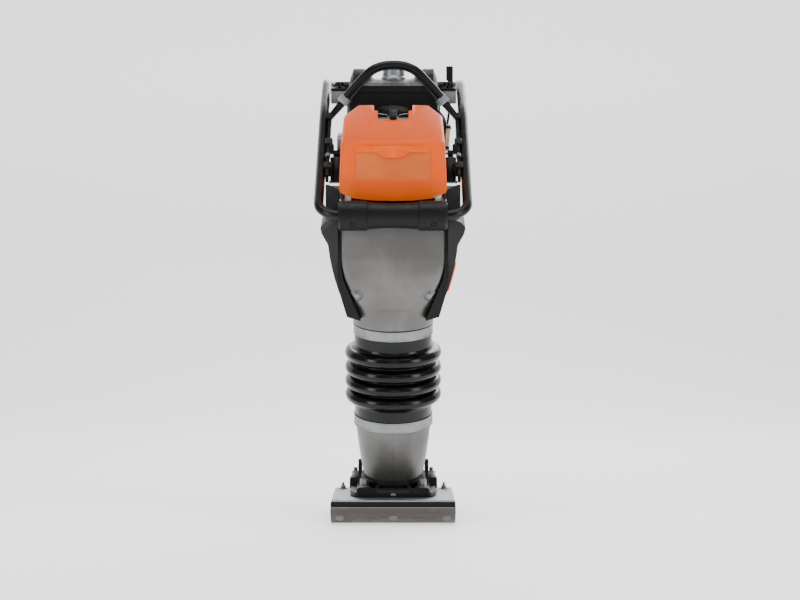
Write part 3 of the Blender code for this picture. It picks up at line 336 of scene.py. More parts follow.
def box_bm(low, high, edge=0.001, segments=3):
    low, high = Vector(low), Vector(high)
    bm = bmesh.new()
    place = Matrix.Translation((low + high) / 2) @ Matrix.Diagonal((*(high - low), 1))
    bmesh.ops.create_cube(bm, size=1, matrix=place)
    return rounded(bm, edge, segments)


def box(name, low, high, look, body, edge=0.001, place=WORLD, segments=3, **more):
    return add_piece(name, mesh_of(box_bm(low, high, edge, segments), name), look, body, place, **more)


def turned_bm(profile, steps=ROUND, closed=False, edge=0.0):
    """A shape turned about Z from (radius, height) points, with its corners rounded by a width."""
    bm = bmesh.new()
    if edge:
        profile = softened(profile, edge, closed)
    rows = []
    for radius, height in profile:
        if radius < 1e-7:
            rows.append([bm.verts.new((0, 0, height))])
            continue
        angles = [2 * math.pi * i / steps for i in range(steps)]
        rows.append([bm.verts.new((radius * math.cos(a), radius * math.sin(a), height)) for a in angles])
    pairs = list(zip(rows, rows[1:]))
    if closed:
        pairs.append((rows[-1], rows[0]))
    for upper, lower in pairs:
        if len(upper) == len(lower) == 1:
            continue
        for i in range(steps):
            j = (i + 1) % steps
            corners = [upper[i % len(upper)], upper[j % len(upper)], lower[j % len(lower)],
                       lower[i % len(lower)]]
            bm.faces.new(list(dict.fromkeys(corners)))
    return bm


def softened(points, width, closed=False, steps=3):
    """The outline with each corner replaced by a short curve that starts a width away from it."""
    made = []
    count = len(points)
    for i, corner in enumerate(points):
        if not closed and i in (0, count - 1):
            made.append(tuple(corner))
            continue
        corner = Vector(corner)
        before, after = Vector(points[i - 1]) - corner, Vector(points[(i + 1) % count]) - corner
        start = corner + before.normalized() * min(width, before.length * 0.45)
        end = corner + after.normalized() * min(width, after.length * 0.45)
        for step in range(steps + 1):
            t = step / steps
            made.append(tuple(start * (1 - t) ** 2 + corner * 2 * t * (1 - t) + end * t**2))
    return made


def turned(name, profile, look, body, place=LEG, closed=False, edge=0.0008, steps=ROUND, **more):
    return add_piece(name, mesh_of(turned_bm(profile, steps, closed, edge), name), look, body, place, **more)


def tube_bm(points, radius, sides=20, cap=True):
    """A round bar along points, with each ring square to the path and a flat cap on each end."""
    points = [Vector(p) for p in points]
    bm = bmesh.new()
    rings = []
    side = None
    for i, point in enumerate(points):
        ahead = points[min(i + 1, len(points) - 1)] - points[max(i - 1, 0)]
        ahead.normalize()
        if side is None:
            side = ahead.orthogonal().normalized()
        side = (side - ahead * side.dot(ahead)).normalized()
        up = ahead.cross(side)
        angles = [2 * math.pi * k / sides for k in range(sides)]
        rings.append([bm.verts.new(point + (side * math.cos(a) + up * math.sin(a)) * radius) for a in angles])
    for first, second in zip(rings, rings[1:]):
        bridge(bm, first, second)
    if cap:
        bm.faces.new(rings[0][::-1])
        bm.faces.new(rings[-1])
    return bm


def tube(name, points, radius, look, body, sides=20, place=WORLD, **more):
    return add_piece(name, mesh_of(tube_bm(points, radius, sides), name), look, body, place, **more)


def slab_bm(outline, low, high, edge=0.0008, segments=3, angle=30):
    """A flat outline of (x, y) points, extruded from one height to another, with rounded edges."""
    bm = bmesh.new()
    under = [bm.verts.new((x, y, low)) for x, y in outline]
    over = [bm.verts.new((x, y, high)) for x, y in outline]
    bridge(bm, under, over)
    bm.faces.new(under[::-1])
    bm.faces.new(over)
    bmesh.ops.recalc_face_normals(bm, faces=bm.faces)
    return rounded(bm, edge, segments, angle)


def side_view(place=WORLD):
    """The placement of an outline drawn in (y, z); its own height runs along +X."""
    return place @ Matrix(((0, 0, 1, 0), (1, 0, 0, 0), (0, 1, 0, 0), (0, 0, 0, 1)))


def front_view(place=WORLD):
    """The placement of an outline drawn in (x, z); its own height runs along -Y."""
    return place @ Matrix(((1, 0, 0, 0), (0, 0, -1, 0), (0, 1, 0, 0), (0, 0, 0, 1)))


def slab(name, outline, low, high, look, body, place=WORLD, edge=0.0008, segments=3, **more):
    return add_piece(name, mesh_of(slab_bm(outline, low, high, edge, segments), name), look, body, place,
                     **more)


def along(at, axis, place=WORLD):
    """The placement with its origin at a point and its +Z along an axis."""
    return place @ Matrix.Translation(at) @ Vector(axis).to_track_quat("Z", "Y").to_matrix().to_4x4()


def joined(name, parts, look, body, smooth=SHARP, **more):
    """One piece from several bmesh shapes, each with its placement."""
    whole = bmesh.new()
    for bm, place in parts:
        bmesh.ops.recalc_face_normals(bm, faces=bm.faces)
        part = bpy.data.meshes.new(name)
        bm.to_mesh(part)
        bm.free()
        part.transform(place)
        whole.from_mesh(part)
        bpy.data.meshes.remove(part)
    mesh = bpy.data.meshes.new(name)
    whole.to_mesh(mesh)
    whole.free()
    return add_piece(name, mesh, look, body, smooth=smooth, **more)


def two_sided(half):
    """A symmetrical outline from the points of one half."""
    return half + [(-x, y) for x, y in half[::-1]]


def arc(centre, radius, start, end, count):
    spread = [math.radians(start + (end - start) * i / (count - 1)) for i in range(count)]
    return [(centre[0] + radius * math.cos(a), centre[1] + radius * math.sin(a)) for a in spread]


def smooth_path(route, between=8):
    """Points on a Catmull-Rom curve through a route."""
    route = [Vector(p) for p in route]
    ends = [route[0] * 2 - route[1]] + route + [route[-1] * 2 - route[-2]]
    points = []
    for a, b, c, d in zip(ends, ends[1:], ends[2:], ends[3:]):
        for i in range(between):
            t = i / between
            cubic = 2 * b + (c - a) * t + (2 * a - 5 * b + 4 * c - d) * t**2 + (3 * b - a - 3 * c + d) * t**3
            points.append(cubic / 2)
    return points + [route[-1]]


def cut(piece, cutters, name="cut"):
    """Cuts shapes, each a bmesh with its placement, out of a piece."""
    for bm, place in cutters:
        mesh = mesh_of(bm, name)
        mesh.transform(place)
        cutter = new_object(name, mesh)
        modifier = piece.modifiers.new(name, "BOOLEAN")
        modifier.operation = "DIFFERENCE"
        modifier.object = cutter
        modifier.solver = "EXACT"
        modifier.use_self = True
        bpy.context.view_layer.update()
        graph = bpy.context.evaluated_depsgraph_get()
        made = bpy.data.meshes.new_from_object(piece.evaluated_get(graph))
        piece.modifiers.clear()
        piece.data = made
        bpy.data.objects.remove(cutter, do_unlink=True)
    piece.data.shade_smooth()
    piece.data.set_sharp_from_angle(angle=math.radians(SHARP))


SIDES = (("left", -1), ("right", 1))


def hexagon(radius):
    turns = [math.radians(60 * i) for i in range(6)]
    return [(radius * math.cos(a), radius * math.sin(a)) for a in turns]


def bolt_bm(radius, head, washer_r, washer=0.0015, socket=True):
    """A washer-headed hex bolt about Z, its foot at zero."""
    bm = turned_bm([(0, washer), (washer_r * 0.94, washer), (washer_r, washer * 0.5), (washer_r, 0), (0, 0)],
                   40)
    cap = slab_bm(hexagon(radius), washer * 0.9, head, radius * 0.1, 2)
    mesh = mesh_of(cap, "bolt_cap")
    bm.from_mesh(mesh)
    bpy.data.meshes.remove(mesh)
    if socket:
        ring = turned_bm([(radius * 0.55, head - 0.0002), (radius * 0.5, head + 0.0004),
                          (radius * 0.38, head + 0.0004), (radius * 0.33, head - 0.0002)], 32, closed=True)
        mesh = mesh_of(ring, "bolt_ring")
        bm.from_mesh(mesh)
        bpy.data.meshes.remove(mesh)
    return bm


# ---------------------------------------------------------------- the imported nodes
RECORD_SLOTS = {sub["node"]: sub["material_slot"] for sub in frame["record"]["subparts"]}
for node, thing in NODES.items():
    thing.data.materials.clear()
    thing.data.materials.append(LOOKS[RECORD_SLOTS[node]].material)
    weld = thing.modifiers.new("weld", "WELD")
    weld.merge_threshold = 0.00002
    edges = thing.modifiers.new("edges", "BEVEL")
    edges.width = 0.0006
    edges.segments = 2
    edges.limit_method = "ANGLE"
    edges.angle_limit = math.radians(38)


# ---------------------------------------------------------------- the shoe and its bracket
def build_shoe():
    toe = mm("-105,0 -124,3.5 -142,12.5 -157,24 -167,36")
    toe_inside = mm("-160.5,43 -150,29 -137,19.5 -121,11.2")
    sole = [(0.158, 0)] + toe + [(-0.17, 0.043)] + toe_inside
    sole += mm("-105,8 154,8 162,18 170,16")
    sole = softened(sole, 0.0045, closed=True, steps=4)
    plate = slab("wear_plate_bent", sole, -SHOE_HALF, SHOE_HALF, "worn_steel", "foot", side_view(),
                 edge=0.0009, segments=2, replaces=["wear_plate"])
    plate.data.set_sharp_from_angle(angle=math.radians(50))

    core = mm("-166.5,43.3 -160,43.3 -149.5,29.4 -136.5,19.9 -120.5,11.6 -105,8.3 153.5,8.3 160,18.5 160,30")
    core += [(0.13, 0.0535), (-0.1665, 0.0535)]
    slab("shoe_core_layers", softened(core, 0.002, True), -0.139, 0.139, "black_plastic", "foot", side_view(),
         edge=0.0012, replaces=["shoe_core"])
    for i, low in enumerate((0.044, 0.0486)):
        box(f"core_layer_{i}", (-0.1395, -0.1672, low), (0.1395, -0.16, low + 0.0036), "black_plastic",
            "foot", edge=0.0008)

    toe_out = Vector((0, -0.608, -0.794))
    for i, x in enumerate((-0.12, 0.0, 0.12)):
        head = turned_bm(mm("0,0.8 8.5,0.6 9.8,0.2 10.2,-0.6 0,-0.6"), 40)
        joined(f"toe_bolt_{i}", [(head, along((x, -0.1462, 0.0157), toe_out))], "cast_aluminium", "foot",
               slot="worn_steel")

    corners = mm("-138,-166 138,-166 138,130 -138,130")
    outline = softened(corners, 0.01, True, 5)
    plate = slab("shoe_plate_zinc", outline, 0.0538, 0.0576, "zinc_steel", "foot", edge=0.0007,
                 replaces=["shoe_top_plate"])
    holes = []
    for _, sign in SIDES:
        for x, y, r in mm("126,-152,3.8 126,60,4.5 52,-120,3.8"):
            ends = [(0, 0.08), (r, 0.08), (r, 0.03), (0, 0.03)]
            holes.append((turned_bm(ends, 24), shift(sign * x, y, 0)))
    cut(plate, holes)
    for side, sign in SIDES:
        place = shift(sign * 0.119, 0.096, 0.0577)
        stud = turned_bm(mm("0,15.5 3.2,15 3.4,7 0,7"), 24)
        joined(f"plate_bolt_{side}", [(bolt_bm(0.0062, 0.008, 0.011, socket=False), place), (stud, place)],
               "zinc_steel", "foot")


def clipped(bm, place, floor):
    """The shape placed in the world, with everything under a height pressed up to it."""
    bm.transform(place)
    for vertex in bm.verts:
        vertex.co.z = max(vertex.co.z, floor)
    bmesh.ops.remove_doubles(bm, verts=bm.verts, dist=0.00001)
    return bm


def build_bracket():
    parts = []
    corner = mm("84,-104 98,-60 98,104")
    base = softened(two_sided(corner), 0.01, True, 5)
    base_bm = slab_bm(base, 0.058, 0.069, 0.0022)
    wall = mm("46,77 52,79.8 80,79 80,58.5 50,58.5 30,62.5")
    wall = softened(two_sided(wall), 0.002, True)
    wall_bm = slab_bm(wall, 0.09, 0.1036, 0.0014)
    parts += [(base_bm, WORLD), (wall_bm, front_view())]
    collar = mm("69,16 73,15 75.5,2 84,-16 86,-30 60,-30 60,-6.8 65.4,-0.3 67.2,15")
    parts.append((clipped(turned_bm(softened(collar, 0.002, True), ROUND, closed=True), LEG, 0.06), WORLD))
    for _, sign in SIDES:
        parts.append((box_bm((sign * 0.067 - 0.016, -0.101, 0.06), (sign * 0.067 + 0.016, -0.042, 0.0769),
                             0.0035), WORLD))
        parts.append((box_bm((sign * 0.086 - 0.017, 0.066, 0.06), (sign * 0.086 + 0.017, 0.102, 0.0869),
                             0.004), WORLD))
        fin = mm("0,62 74,62 70,106 60,133 48,130 32,104")
        fin += [(0.012, 0.082)]
        fin = softened(fin, 0.006, True)
        parts.append((slab_bm(fin, sign * 0.0775 - 0.0045, sign * 0.0775 + 0.0045, 0.0015), side_view()))
        rib = softened(mm("-96,60 -30,60 -12,86 -30,86 -88,74"), 0.004, True)
        parts.append((slab_bm(rib, sign * 0.058 - 0.003, sign * 0.058 + 0.003, 0.0012), side_view()))
        toe_rib = softened(mm("-100,60 -52,60 -52,82 -92,74"), 0.003, True)
        parts.append((slab_bm(toe_rib, sign * 0.036 - 0.004, sign * 0.036 + 0.004, 0.0012), side_view()))
    joined("leg_bracket_casting", parts, "black_casting", "foot", replaces=["leg_bracket"])
    badge = softened(mm("-9,0 0,4.2 9,0 0,-4.2"), 0.006, True, 5)
    slab("bracket_rub_mark", badge, 0.1035, 0.105, "zinc_steel", "foot", front_view(shift(0, 0, 0.064)),
         edge=0.0004)


def nut_bm(across, low, high):
    """A chamfered hex nut about Z."""
    return slab_bm(hexagon(across), low, high, 0.0008, 2)


def build_leg_nuts():
    for row, x, y, low, high in (("front", 0.067, -0.06, 0.077, 0.107), ("rear", 0.089, 0.085, 0.087, 0.11)):
        height = high - low
        for side, sign in SIDES:
            place = shift(sign * x, y, low)
            washer = turned_bm([(0, 0.0026), (0.0112, 0.0026), (0.0115, 0.0022), (0.0115, GAP), (0, GAP)], 40)
            nut = nut_bm(0.0095, 0.0026, 0.62 * height)
            thread = [(0, height - 0.0004)]
            turns = int(0.4 * height / 0.0012)
            for i in range(turns):
                z = height - 0.0004 - i * 0.0012
                thread += [(0.0042, z), (0.0049, z - 0.0006)]
            thread += [(0.0042, 0.6 * height), (0, 0.6 * height)]
            stud = turned_bm(thread, 28)
            joined(f"stud_{row}_{side}", [(washer, place), (nut, place), (stud, place)], "zinc_steel", "foot",
                   replaces=[f"leg_nut_{row}_{side}"])


# ---------------------------------------------------------------- the leg
def build_leg():
    profile = mm("65.5,395 65.5,166 84.2,166 84.2,137 85.5,136.2 84.8,128 83.8,118 82.4,104 80.4,88 78,70 "
                 "75.2,52 72.2,36 69,20 66.8,8 64.8,-1 60,-6 0,-6 0,20 54.5,20 54.5,395 65.5,395")
    parts = [(turned_bm(profile, ROUND), LEG)]
    for turn in (-1.571, 1.571):
        ridge = []
        for radius, height in mm("85,132 82.5,104 78.2,70 72.4,36 67.2,10"):
            ridge.append(Vector((radius * math.cos(turn), radius * math.sin(turn), height)))
        parts.append((tube_bm(smooth_path(ridge, 4), 0.0008, 8), LEG))
    leg = joined("leg_cup_cast", parts, "cast_aluminium", "foot", replaces=["spring_cylinder"])
    leg.data.set_sharp_from_angle(angle=math.radians(40))
    # Painted shade: a ring of darkened cast aluminium at the top of the cup.
    turned("leg_neck_band", mm("84.6,166.8 84.6,165 70,165 70,166.8"), "cast_painted_shade",
           "foot", closed=True, slot="cast_aluminium")


def build_clamp(name, low, high, body, node):
    """A band clamp: a flat band between two rolled edges, closed by a bolt between two ears behind."""
    band = [(0.0909, high), (0.0909, high - 0.0022), (0.0903, high - 0.003), (0.0903, low + 0.003)]
    band += [(0.0909, low + 0.0022), (0.0909, low), (0.0889, low), (0.0889, high)]
    parts = [(turned_bm(softened(band, 0.0004, True), ROUND, closed=True), LEG)]
    middle = (low + high) / 2
    for offset in (-0.008, 0.008):
        ear = box_bm((offset - 0.0012, 0.09, low + 0.002), (offset + 0.0012, 0.106, high - 0.002), 0.0006)
        parts.append((ear, LEG))
    parts.append((tube_bm([(-0.016, 0.099, middle), (0.019, 0.099, middle)], 0.0028, 16), LEG))
    parts.append((nut_bm(0.0052, 0.0092, 0.0142), LEG @ along((0, 0.099, middle), RIGHT)))
    parts.append((nut_bm(0.0052, 0.0092, 0.0128), LEG @ along((0, 0.099, middle), (-1, 0, 0))))
    joined(name, parts, "zinc_steel", body, replaces=[node])


def build_bellows():
    low, high = BELLOWS_ENDS
    reach = math.radians(97)
    middle = BELLOWS_R - BULGE_R
    outer = [(BELLOWS_NECK_R, high), (BELLOWS_NECK_R, 0.33), (BELLOWS_NECK_R + 0.0006, 0.325)]
    for i, height in enumerate(BULGES):
        for step in range(15):
            a = reach * (1 - step / 7)
            outer.append((middle + BULGE_R * math.cos(a), height + BULGE_R * math.sin(a)))
        if i < 3:
            valley = (height + BULGES[i + 1]) / 2
            outer += [(0.0925, valley + 0.0012), (0.092, valley), (0.0925, valley - 0.0012)]
    outer += [(BELLOWS_NECK_R + 0.0006, 0.189), (BELLOWS_NECK_R, 0.185), (BELLOWS_NECK_R, low)]
    inner = [(0.0846, low), (0.0846, high)]
    bm = turned_bm(outer + inner, ROUND, closed=True)
    mesh = mesh_of(bm, "bellows_moulded")
    piece = add_piece("bellows_moulded", mesh, "rubber", None, LEG, replaces=["bellows"], smooth=60)
    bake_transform(piece)


build_shoe()
build_bracket()
build_leg_nuts()
build_leg()
build_clamp("clamp_band_lower", 0.1387, 0.1625, "foot", "lower_clamp_ring")
build_clamp("clamp_band_upper", 0.355, 0.377, "housing", "upper_clamp_ring")
build_bellows()


# ---------------------------------------------------------------- the crankcase and its covers
# Sections of the crankcase up the leg: height, half width, front, back and squareness (2 is round).
CASE_SECTIONS = [
    (0.379, 0.0909, -0.0909, 0.0909, 2.0),
    (0.4, 0.0912, -0.0909, 0.0909, 2.6),
    (0.43, 0.0925, -0.0915, 0.0915, 4.2),
    (0.453, 0.0965, -0.092, 0.0925, 7.0),
    (0.476, 0.1035, -0.092, 0.0935, 11.0),
    (0.499, 0.1105, -0.0905, 0.095, 16.0),
    (0.521, 0.116, -0.088, 0.0965, 20.0),
    (0.544, 0.1185, -0.085, 0.098, 24.0),
    (0.655, 0.1185, -0.062, 0.1, 24.0),
]
SCREW_X, SCREW_HEIGHT, SCREW_Y = 0.081, 0.464, -0.0868


def case_section(height):
    """The crankcase's half width, front, back and squareness at a height up the leg."""
    for low, high in zip(CASE_SECTIONS, CASE_SECTIONS[1:]):
        if height <= high[0]:
            t = (height - low[0]) / (high[0] - low[0])
            return [a + (b - a) * t for a, b in zip(low[1:], high[1:])]
    return CASE_SECTIONS[-1][1:]


def case_front(x, height, proud=0.0):
    """A point on the front of the crankcase, or a little in front of it, in the leg frame."""
    half, front, back, power = case_section(height)
    share = min(abs(x) / half, 0.995)
    depth = (back - front) / 2 * (1 - share**power) ** (1 / power)
    return Vector((x, (front + back) / 2 - depth - proud, height))


def build_crankcase():
    rows, count = [], 120
    bm = bmesh.new()
    heights = [0.379 + 0.276 * i / 40 for i in range(41)]
    for height in heights:
        half, front, back, power = case_section(height)
        row = []
        for i in range(count):
            c, s = math.cos(2 * math.pi * i / count), math.sin(2 * math.pi * i / count)
            x = half * math.copysign(abs(c) ** (2 / power), c)
            y = (front + back) / 2 + (back - front) / 2 * math.copysign(abs(s) ** (2 / power), s)
            row.append(bm.verts.new((x, y, height)))
        rows.append(row)
    for low, high in zip(rows, rows[1:]):
        bridge(bm, low, high)
    bm.faces.new(rows[0][::-1])
    bm.faces.new(rows[-1])
    case = joined("crankcase_cast", [(bm, LEG)], "cast_aluminium", "housing", replaces=["crankcase"])
    pockets = []
    for _, sign in SIDES:
        outward = along((sign * SCREW_X, SCREW_Y, SCREW_HEIGHT), FRONT, LEG)
        profile = mm("0,30 17.5,30 14.2,6 13.6,0 0,0")
        pockets.append((turned_bm(softened(profile, 0.0012), 40), outward))
    cut(case, pockets)
    case.data.set_sharp_from_angle(angle=math.radians(28))

    for side, sign in SIDES:
        outward = along((sign * SCREW_X, SCREW_Y - GAP, SCREW_HEIGHT), FRONT, LEG)
        joined(f"panel_bolt_{side}", [(bolt_bm(0.005, 0.0066, 0.0072), outward)], "zinc_steel", "housing",
               replaces=[f"panel_screw_{side}"])
        arm = sorted((sign * 0.11, sign * 0.146))
        box(f"case_arm_{side}", (arm[0], -0.062, 0.7345), (arm[1], -0.016, 0.7655), "cast_aluminium",
            "housing", edge=0.004)
    neck = mm("84.2,379.2 84.2,345 60,345 60,379.2")
    turned("case_neck", neck, "cast_aluminium", "housing", closed=True)
    # Painted shade: a ring of darkened cast aluminium along the crankcase's bottom edge.
    turned("case_lip", mm("91.2,380.6 91.2,378.2 84.5,378.2 84.5,380.6"), "cast_painted_shade",
           "housing", closed=True, slot="cast_aluminium")
    crease = [case_front(-0.034 + 0.068 * i / 12, 0.4275, 0.0001) for i in range(13)]
    tube("case_crease", crease, 0.0005, "cast_aluminium", "housing", 6, place=LEG)


COVER_OUTER = mm("116,458.7 120.9,472 128.6,497.4 135.1,523.7 139.9,550 143.4,576.7 150.4,589.7 157.3,602.7 "
                 "160,615.8")
COVER_OUTER += [(0.15, 0.628), (0.135, 0.633)]


def build_side_cover(side, sign):
    inner = mm("121.5,633 121.5,523.7 120.8,497.4 118.2,472.1")
    outline = [(sign * x, s) for x, s in COVER_OUTER + inner]
    shell = slab_bm(softened(outline, 0.003, True), -0.0955, 0.085, 0.004, 4, 50)
    parts = [(shell, front_view(LEG))]
    for i in range(4):
        s = 0.488 + 0.022 * i
        reach = 0.1262 + 0.0045 * i
        low, high = sorted((sign * (reach - 0.006), sign * (reach + 0.0015)))
        rib = box_bm((low, -0.02, s), (high, 0.08, s + 0.008), 0.0015)
        parts.append((rib, LEG))
    low, high = sorted((sign * 0.1205, sign * 0.15))
    parts.append((box_bm((low, -0.181, 0.66), (high, -0.168, 0.745), 0.004), WORLD))
    joined(f"side_cover_shell_{side}", parts, "grey_plastic", "housing", replaces=[f"side_cover_{side}"])

    outer = mm("102.5,413.9 109.5,438 115.5,458.7 118,472.1 120.5,497.4")
    outer += [(0.121, 0.5237), (0.121, 0.655)]
    edge = mm("72.3,405 78.7,421.5 88.9,447 99,472.1 109.5,497.4")
    edge += [(0.1143, 0.5237), (0.1172, 0.655)]
    across, up = 8, 6
    bm = bmesh.new()
    layers = []
    for set_back in (-0.0015, 0.045):
        grid = []
        for k in range((len(outer) - 1) * up + 1):
            i = min(k // up, len(outer) - 2)
            t = k / up - i
            left = Vector(outer[i]).lerp(Vector(outer[i + 1]), t)
            right = Vector(edge[i]).lerp(Vector(edge[i + 1]), t)
            row = []
            for m in range(across + 1):
                x, s = right.lerp(left, m / across)
                row.append(bm.verts.new((sign * x, case_section(s)[1] + set_back, s)))
            grid.append(row)
        layers.append(grid)
    front, back = layers
    for a, b in zip(front, front[1:]):
        for m in range(across):
            bm.faces.new((a[m], a[m + 1], b[m + 1], b[m]))
    for a, b in zip(back, back[1:]):
        for m in range(across):
            bm.faces.new((a[m], b[m], b[m + 1], a[m + 1]))
    rim = [row[0] for row in front] + front[-1][1:] + [row[-1] for row in front[-2::-1]] + front[0][-2:0:-1]
    rim_back = [row[0] for row in back] + back[-1][1:] + [row[-1] for row in back[-2::-1]] + back[0][-2:0:-1]
    bridge(bm, rim, rim_back)
    bmesh.ops.recalc_face_normals(bm, faces=bm.faces)
    rounded(bm, 0.0007, 2, 50)
    joined(f"case_guard_{side}", [(bm, LEG)], "black_plastic", "housing")


def build_cover_outline():
    """A plain orange outline on the outside of the right-hand cover."""
    def on_cover(s, y):
        for low, high in zip(COVER_OUTER, COVER_OUTER[1:]):
            if low[1] <= s <= high[1]:
                return Vector((low[0] + (high[0] - low[0]) * (s - low[1]) / (high[1] - low[1]) + 0.0012, y,
                               s))

    corners = mm("470,-83 534,-83 534,10 470,10")
    path = softened(corners, 0.01, True, 5)
    points = [on_cover(s, y) for s, y in path]
    points.append(points[0])
    dense = [a.lerp(b, i / 4) for a, b in zip(points, points[1:]) for i in range(4)] + [points[0]]
    tube("cover_outline_mark", [on_cover(p.z, p.y) for p in dense], 0.0016, "orange_plastic", "housing", 8,
         place=LEG)


# ---------------------------------------------------------------- the bumper
def build_bumper():
    end, half_middle = 0.1195, 0.056
    bore = 0.012
    profile = [(bore, end), (0.0285, end), (0.033, end - 0.0045), (0.033, half_middle + 0.0012)]
    profile += [(0.0318, half_middle + 0.0002), (0.0306, half_middle)]
    for i in range(17):
        x = half_middle - 0.0005 - (2 * half_middle - 0.001) * i / 16
        profile.append((0.0272 + 0.003 * (x / half_middle) ** 2, x))
    profile += [(0.0306, -half_middle), (0.0318, -half_middle - 0.0002), (0.033, -half_middle - 0.0012)]
    profile += [(0.033, -end + 0.0045), (0.0285, -end), (bore, -end)]
    place = along(FRAME_FRONT, RIGHT)
    piece = add_piece("front_roll", mesh_of(turned_bm(profile, ROUND, closed=True), "front_roll"),
                      "black_plastic", "handle", place, replaces=["front_bumper"])
    holes = []
    for _, sign in SIDES:
        outward = along(FRAME_FRONT + Vector((sign * 0.088, 0, -0.011)), (0, -1, -0.34))
        holes.append((turned_bm(mm("0,50 6.2,50 5.6,22.5 0,22.5"), 32), outward))
    cut(piece, holes)
    for side, sign in SIDES:
        at = FRAME_FRONT + Vector((sign * 0.088, 0, -0.011)) + Vector((0, -1, -0.34)).normalized() * 0.0226
        joined(f"roll_screw_{side}", [(bolt_bm(0.0034, 0.003, 0.0048, 0.001), along(at, (0, -1, -0.34)))],
               "black_casting", "handle")


build_crankcase()
for name_of_side, sign_of_side in SIDES:
    build_side_cover(name_of_side, sign_of_side)
build_cover_outline()
build_bumper()


# ---------------------------------------------------------------- the filter cover and its strap
COVER_PROFILE = mm("-125,733.5 -200,733.5 -220.5,768.5 -211,853 -40,951")
COVER_PROFILE += [(-0.031, 0.951)]


def on_plane(at, up):
    """An outline's placement with its y along a direction up a face and its height out of the face."""
    up = Vector((0, *up)).normalized()
    out = Vector((1, 0, 0)).cross(up)
    return Matrix.Translation(at) @ Matrix(((1, 0, 0), tuple(up), tuple(out))).transposed().to_4x4()


FRONT_FACE = on_plane((0, -0.2205, 0.7685), (0.0095, 0.0845))
TOP_FACE = on_plane((0, -0.211, 0.853), (0.171, 0.098))


def build_filter_cover():
    bm = bmesh.new()
    columns = [(1, 0.016), (0.955, 0.0075), (0.72, 0), (0.36, -0.0008), (0, -0.001)]
    columns = [(-share, drop) for share, drop in columns] + columns[-2::-1]
    rows = []
    for y, z in COVER_PROFILE:
        half = 0.12 - 0.0377 * (z - 0.7335)
        inward = (Vector((-0.09, 0.83)) - Vector((y, z))).normalized()
        row = []
        for share, drop in columns:
            dip = 0 if z > 0.74 else -0.01 + 0.013 * abs(share) ** 3
            row.append(bm.verts.new((share * half, y + inward.x * drop, z + inward.y * drop + dip)))
        rows.append(row)
    for first, second in zip(rows[1:], rows[2:]):
        for k in range(len(columns) - 1):
            bm.faces.new((first[k], first[k + 1], second[k + 1], second[k]))
    for k, sign in ((0, -1), (-1, 1)):
        rear = bm.verts.new((sign * 0.1194, -0.0665, 0.7495))
        wall = [row[k] for row in rows] + [rear]
        bm.faces.new(wall if sign < 0 else wall[::-1])
    bmesh.ops.delete(bm, geom=[v for v in bm.verts if not v.link_faces], context="VERTS")
    bmesh.ops.recalc_face_normals(bm, faces=bm.faces)
    for _, sign in SIDES:
        whole = bm.verts[:] + bm.edges[:] + bm.faces[:]
        shoulder = bmesh.ops.bisect_plane(bm, geom=whole, plane_co=(sign * 0.07, 0, 0.96), clear_outer=True,
                                          plane_no=(sign * 0.055, 0, 0.06))
        rim = [e for e in shoulder["geom_cut"] if isinstance(e, bmesh.types.BMEdge)]
        bmesh.ops.contextual_create(bm, geom=rim)
    bmesh.ops.recalc_face_normals(bm, faces=bm.faces)
    mesh = bpy.data.meshes.new("orange_cover")
    bm.to_mesh(mesh)
    bm.free()
    middle = max(mesh.polygons, key=lambda face: -face.center.y - abs(face.center.x))
    if middle.normal.y > 0:
        mesh.flip_normals()
    piece = add_piece("orange_cover", mesh, "orange_plastic", "filter_cover", replaces=["filter_cover"])
    fold = piece.modifiers.new("fold", "BEVEL")
    fold.width, fold.segments, fold.angle_limit, fold.limit_method = 0.005, 4, math.radians(10), "ANGLE"
    shell = piece.modifiers.new("shell", "SOLIDIFY")
    shell.thickness, shell.offset, shell.use_even_offset = 0.0035, -1, True
    notch = mm("48.7,20 43,-61 35,-63 35,-104")
    notch = two_sided([(-x, y) for x, y in notch])
    cuts = [(slab_bm(notch, 0.88, 1.0, 0), WORLD)]
    half_panel = mm("83,1 83,61.2 38.6,61.2 20,49")
    panel = softened(two_sided(half_panel), 0.002, True, 3)
    cuts.append((slab_bm(panel, -0.0012, 0.02, 0), FRONT_FACE))
    groove = mm("-66,76.5 66,76.5 66,77.8 -66,77.8")
    cuts.append((slab_bm(groove, -0.0007, 0.02, 0), FRONT_FACE))
    valley = softened(mm("-47,108 47,108 50,215 -50,215"), 0.006, True, 4)
    cuts.append((slab_bm(valley, -0.0016, 0.02, 0), TOP_FACE))
    cut(piece, cuts)
    joined("cover_panel", [(slab_bm(panel, -0.002, -0.0008, 0.0003, 2), FRONT_FACE)], "orange_faded",
           "filter_cover", slot="orange_plastic")

    bar = mm("34.5,930.5 34.5,940.5 25,945 12,947.8 0,948.7")
    bar = bar + [(-x, z) for x, z in bar[-2::-1]] + mm("-15,928 -9.5,919 9.5,919 15,928")
    stem = mm("9.2,172 9.2,124 6,119")
    stem = softened(two_sided([(-x, h) for x, h in stem]), 0.003, True)
    joined("cover_strap", [(slab_bm(bar, 0.05, 0.06, 0.0016), front_view()),
                           (slab_bm(stem, -0.001, 0.0045, 0.0014), TOP_FACE)],
           "rubber", "cover_latch", replaces=["cover_latch"])


# ---------------------------------------------------------------- the handle frame
def mirrored(points):
    """The points, then their mirror images, as one run from +X over to -X."""
    return list(points) + [Vector((-p[0], p[1], p[2])) for p in reversed(points) if p[0]]


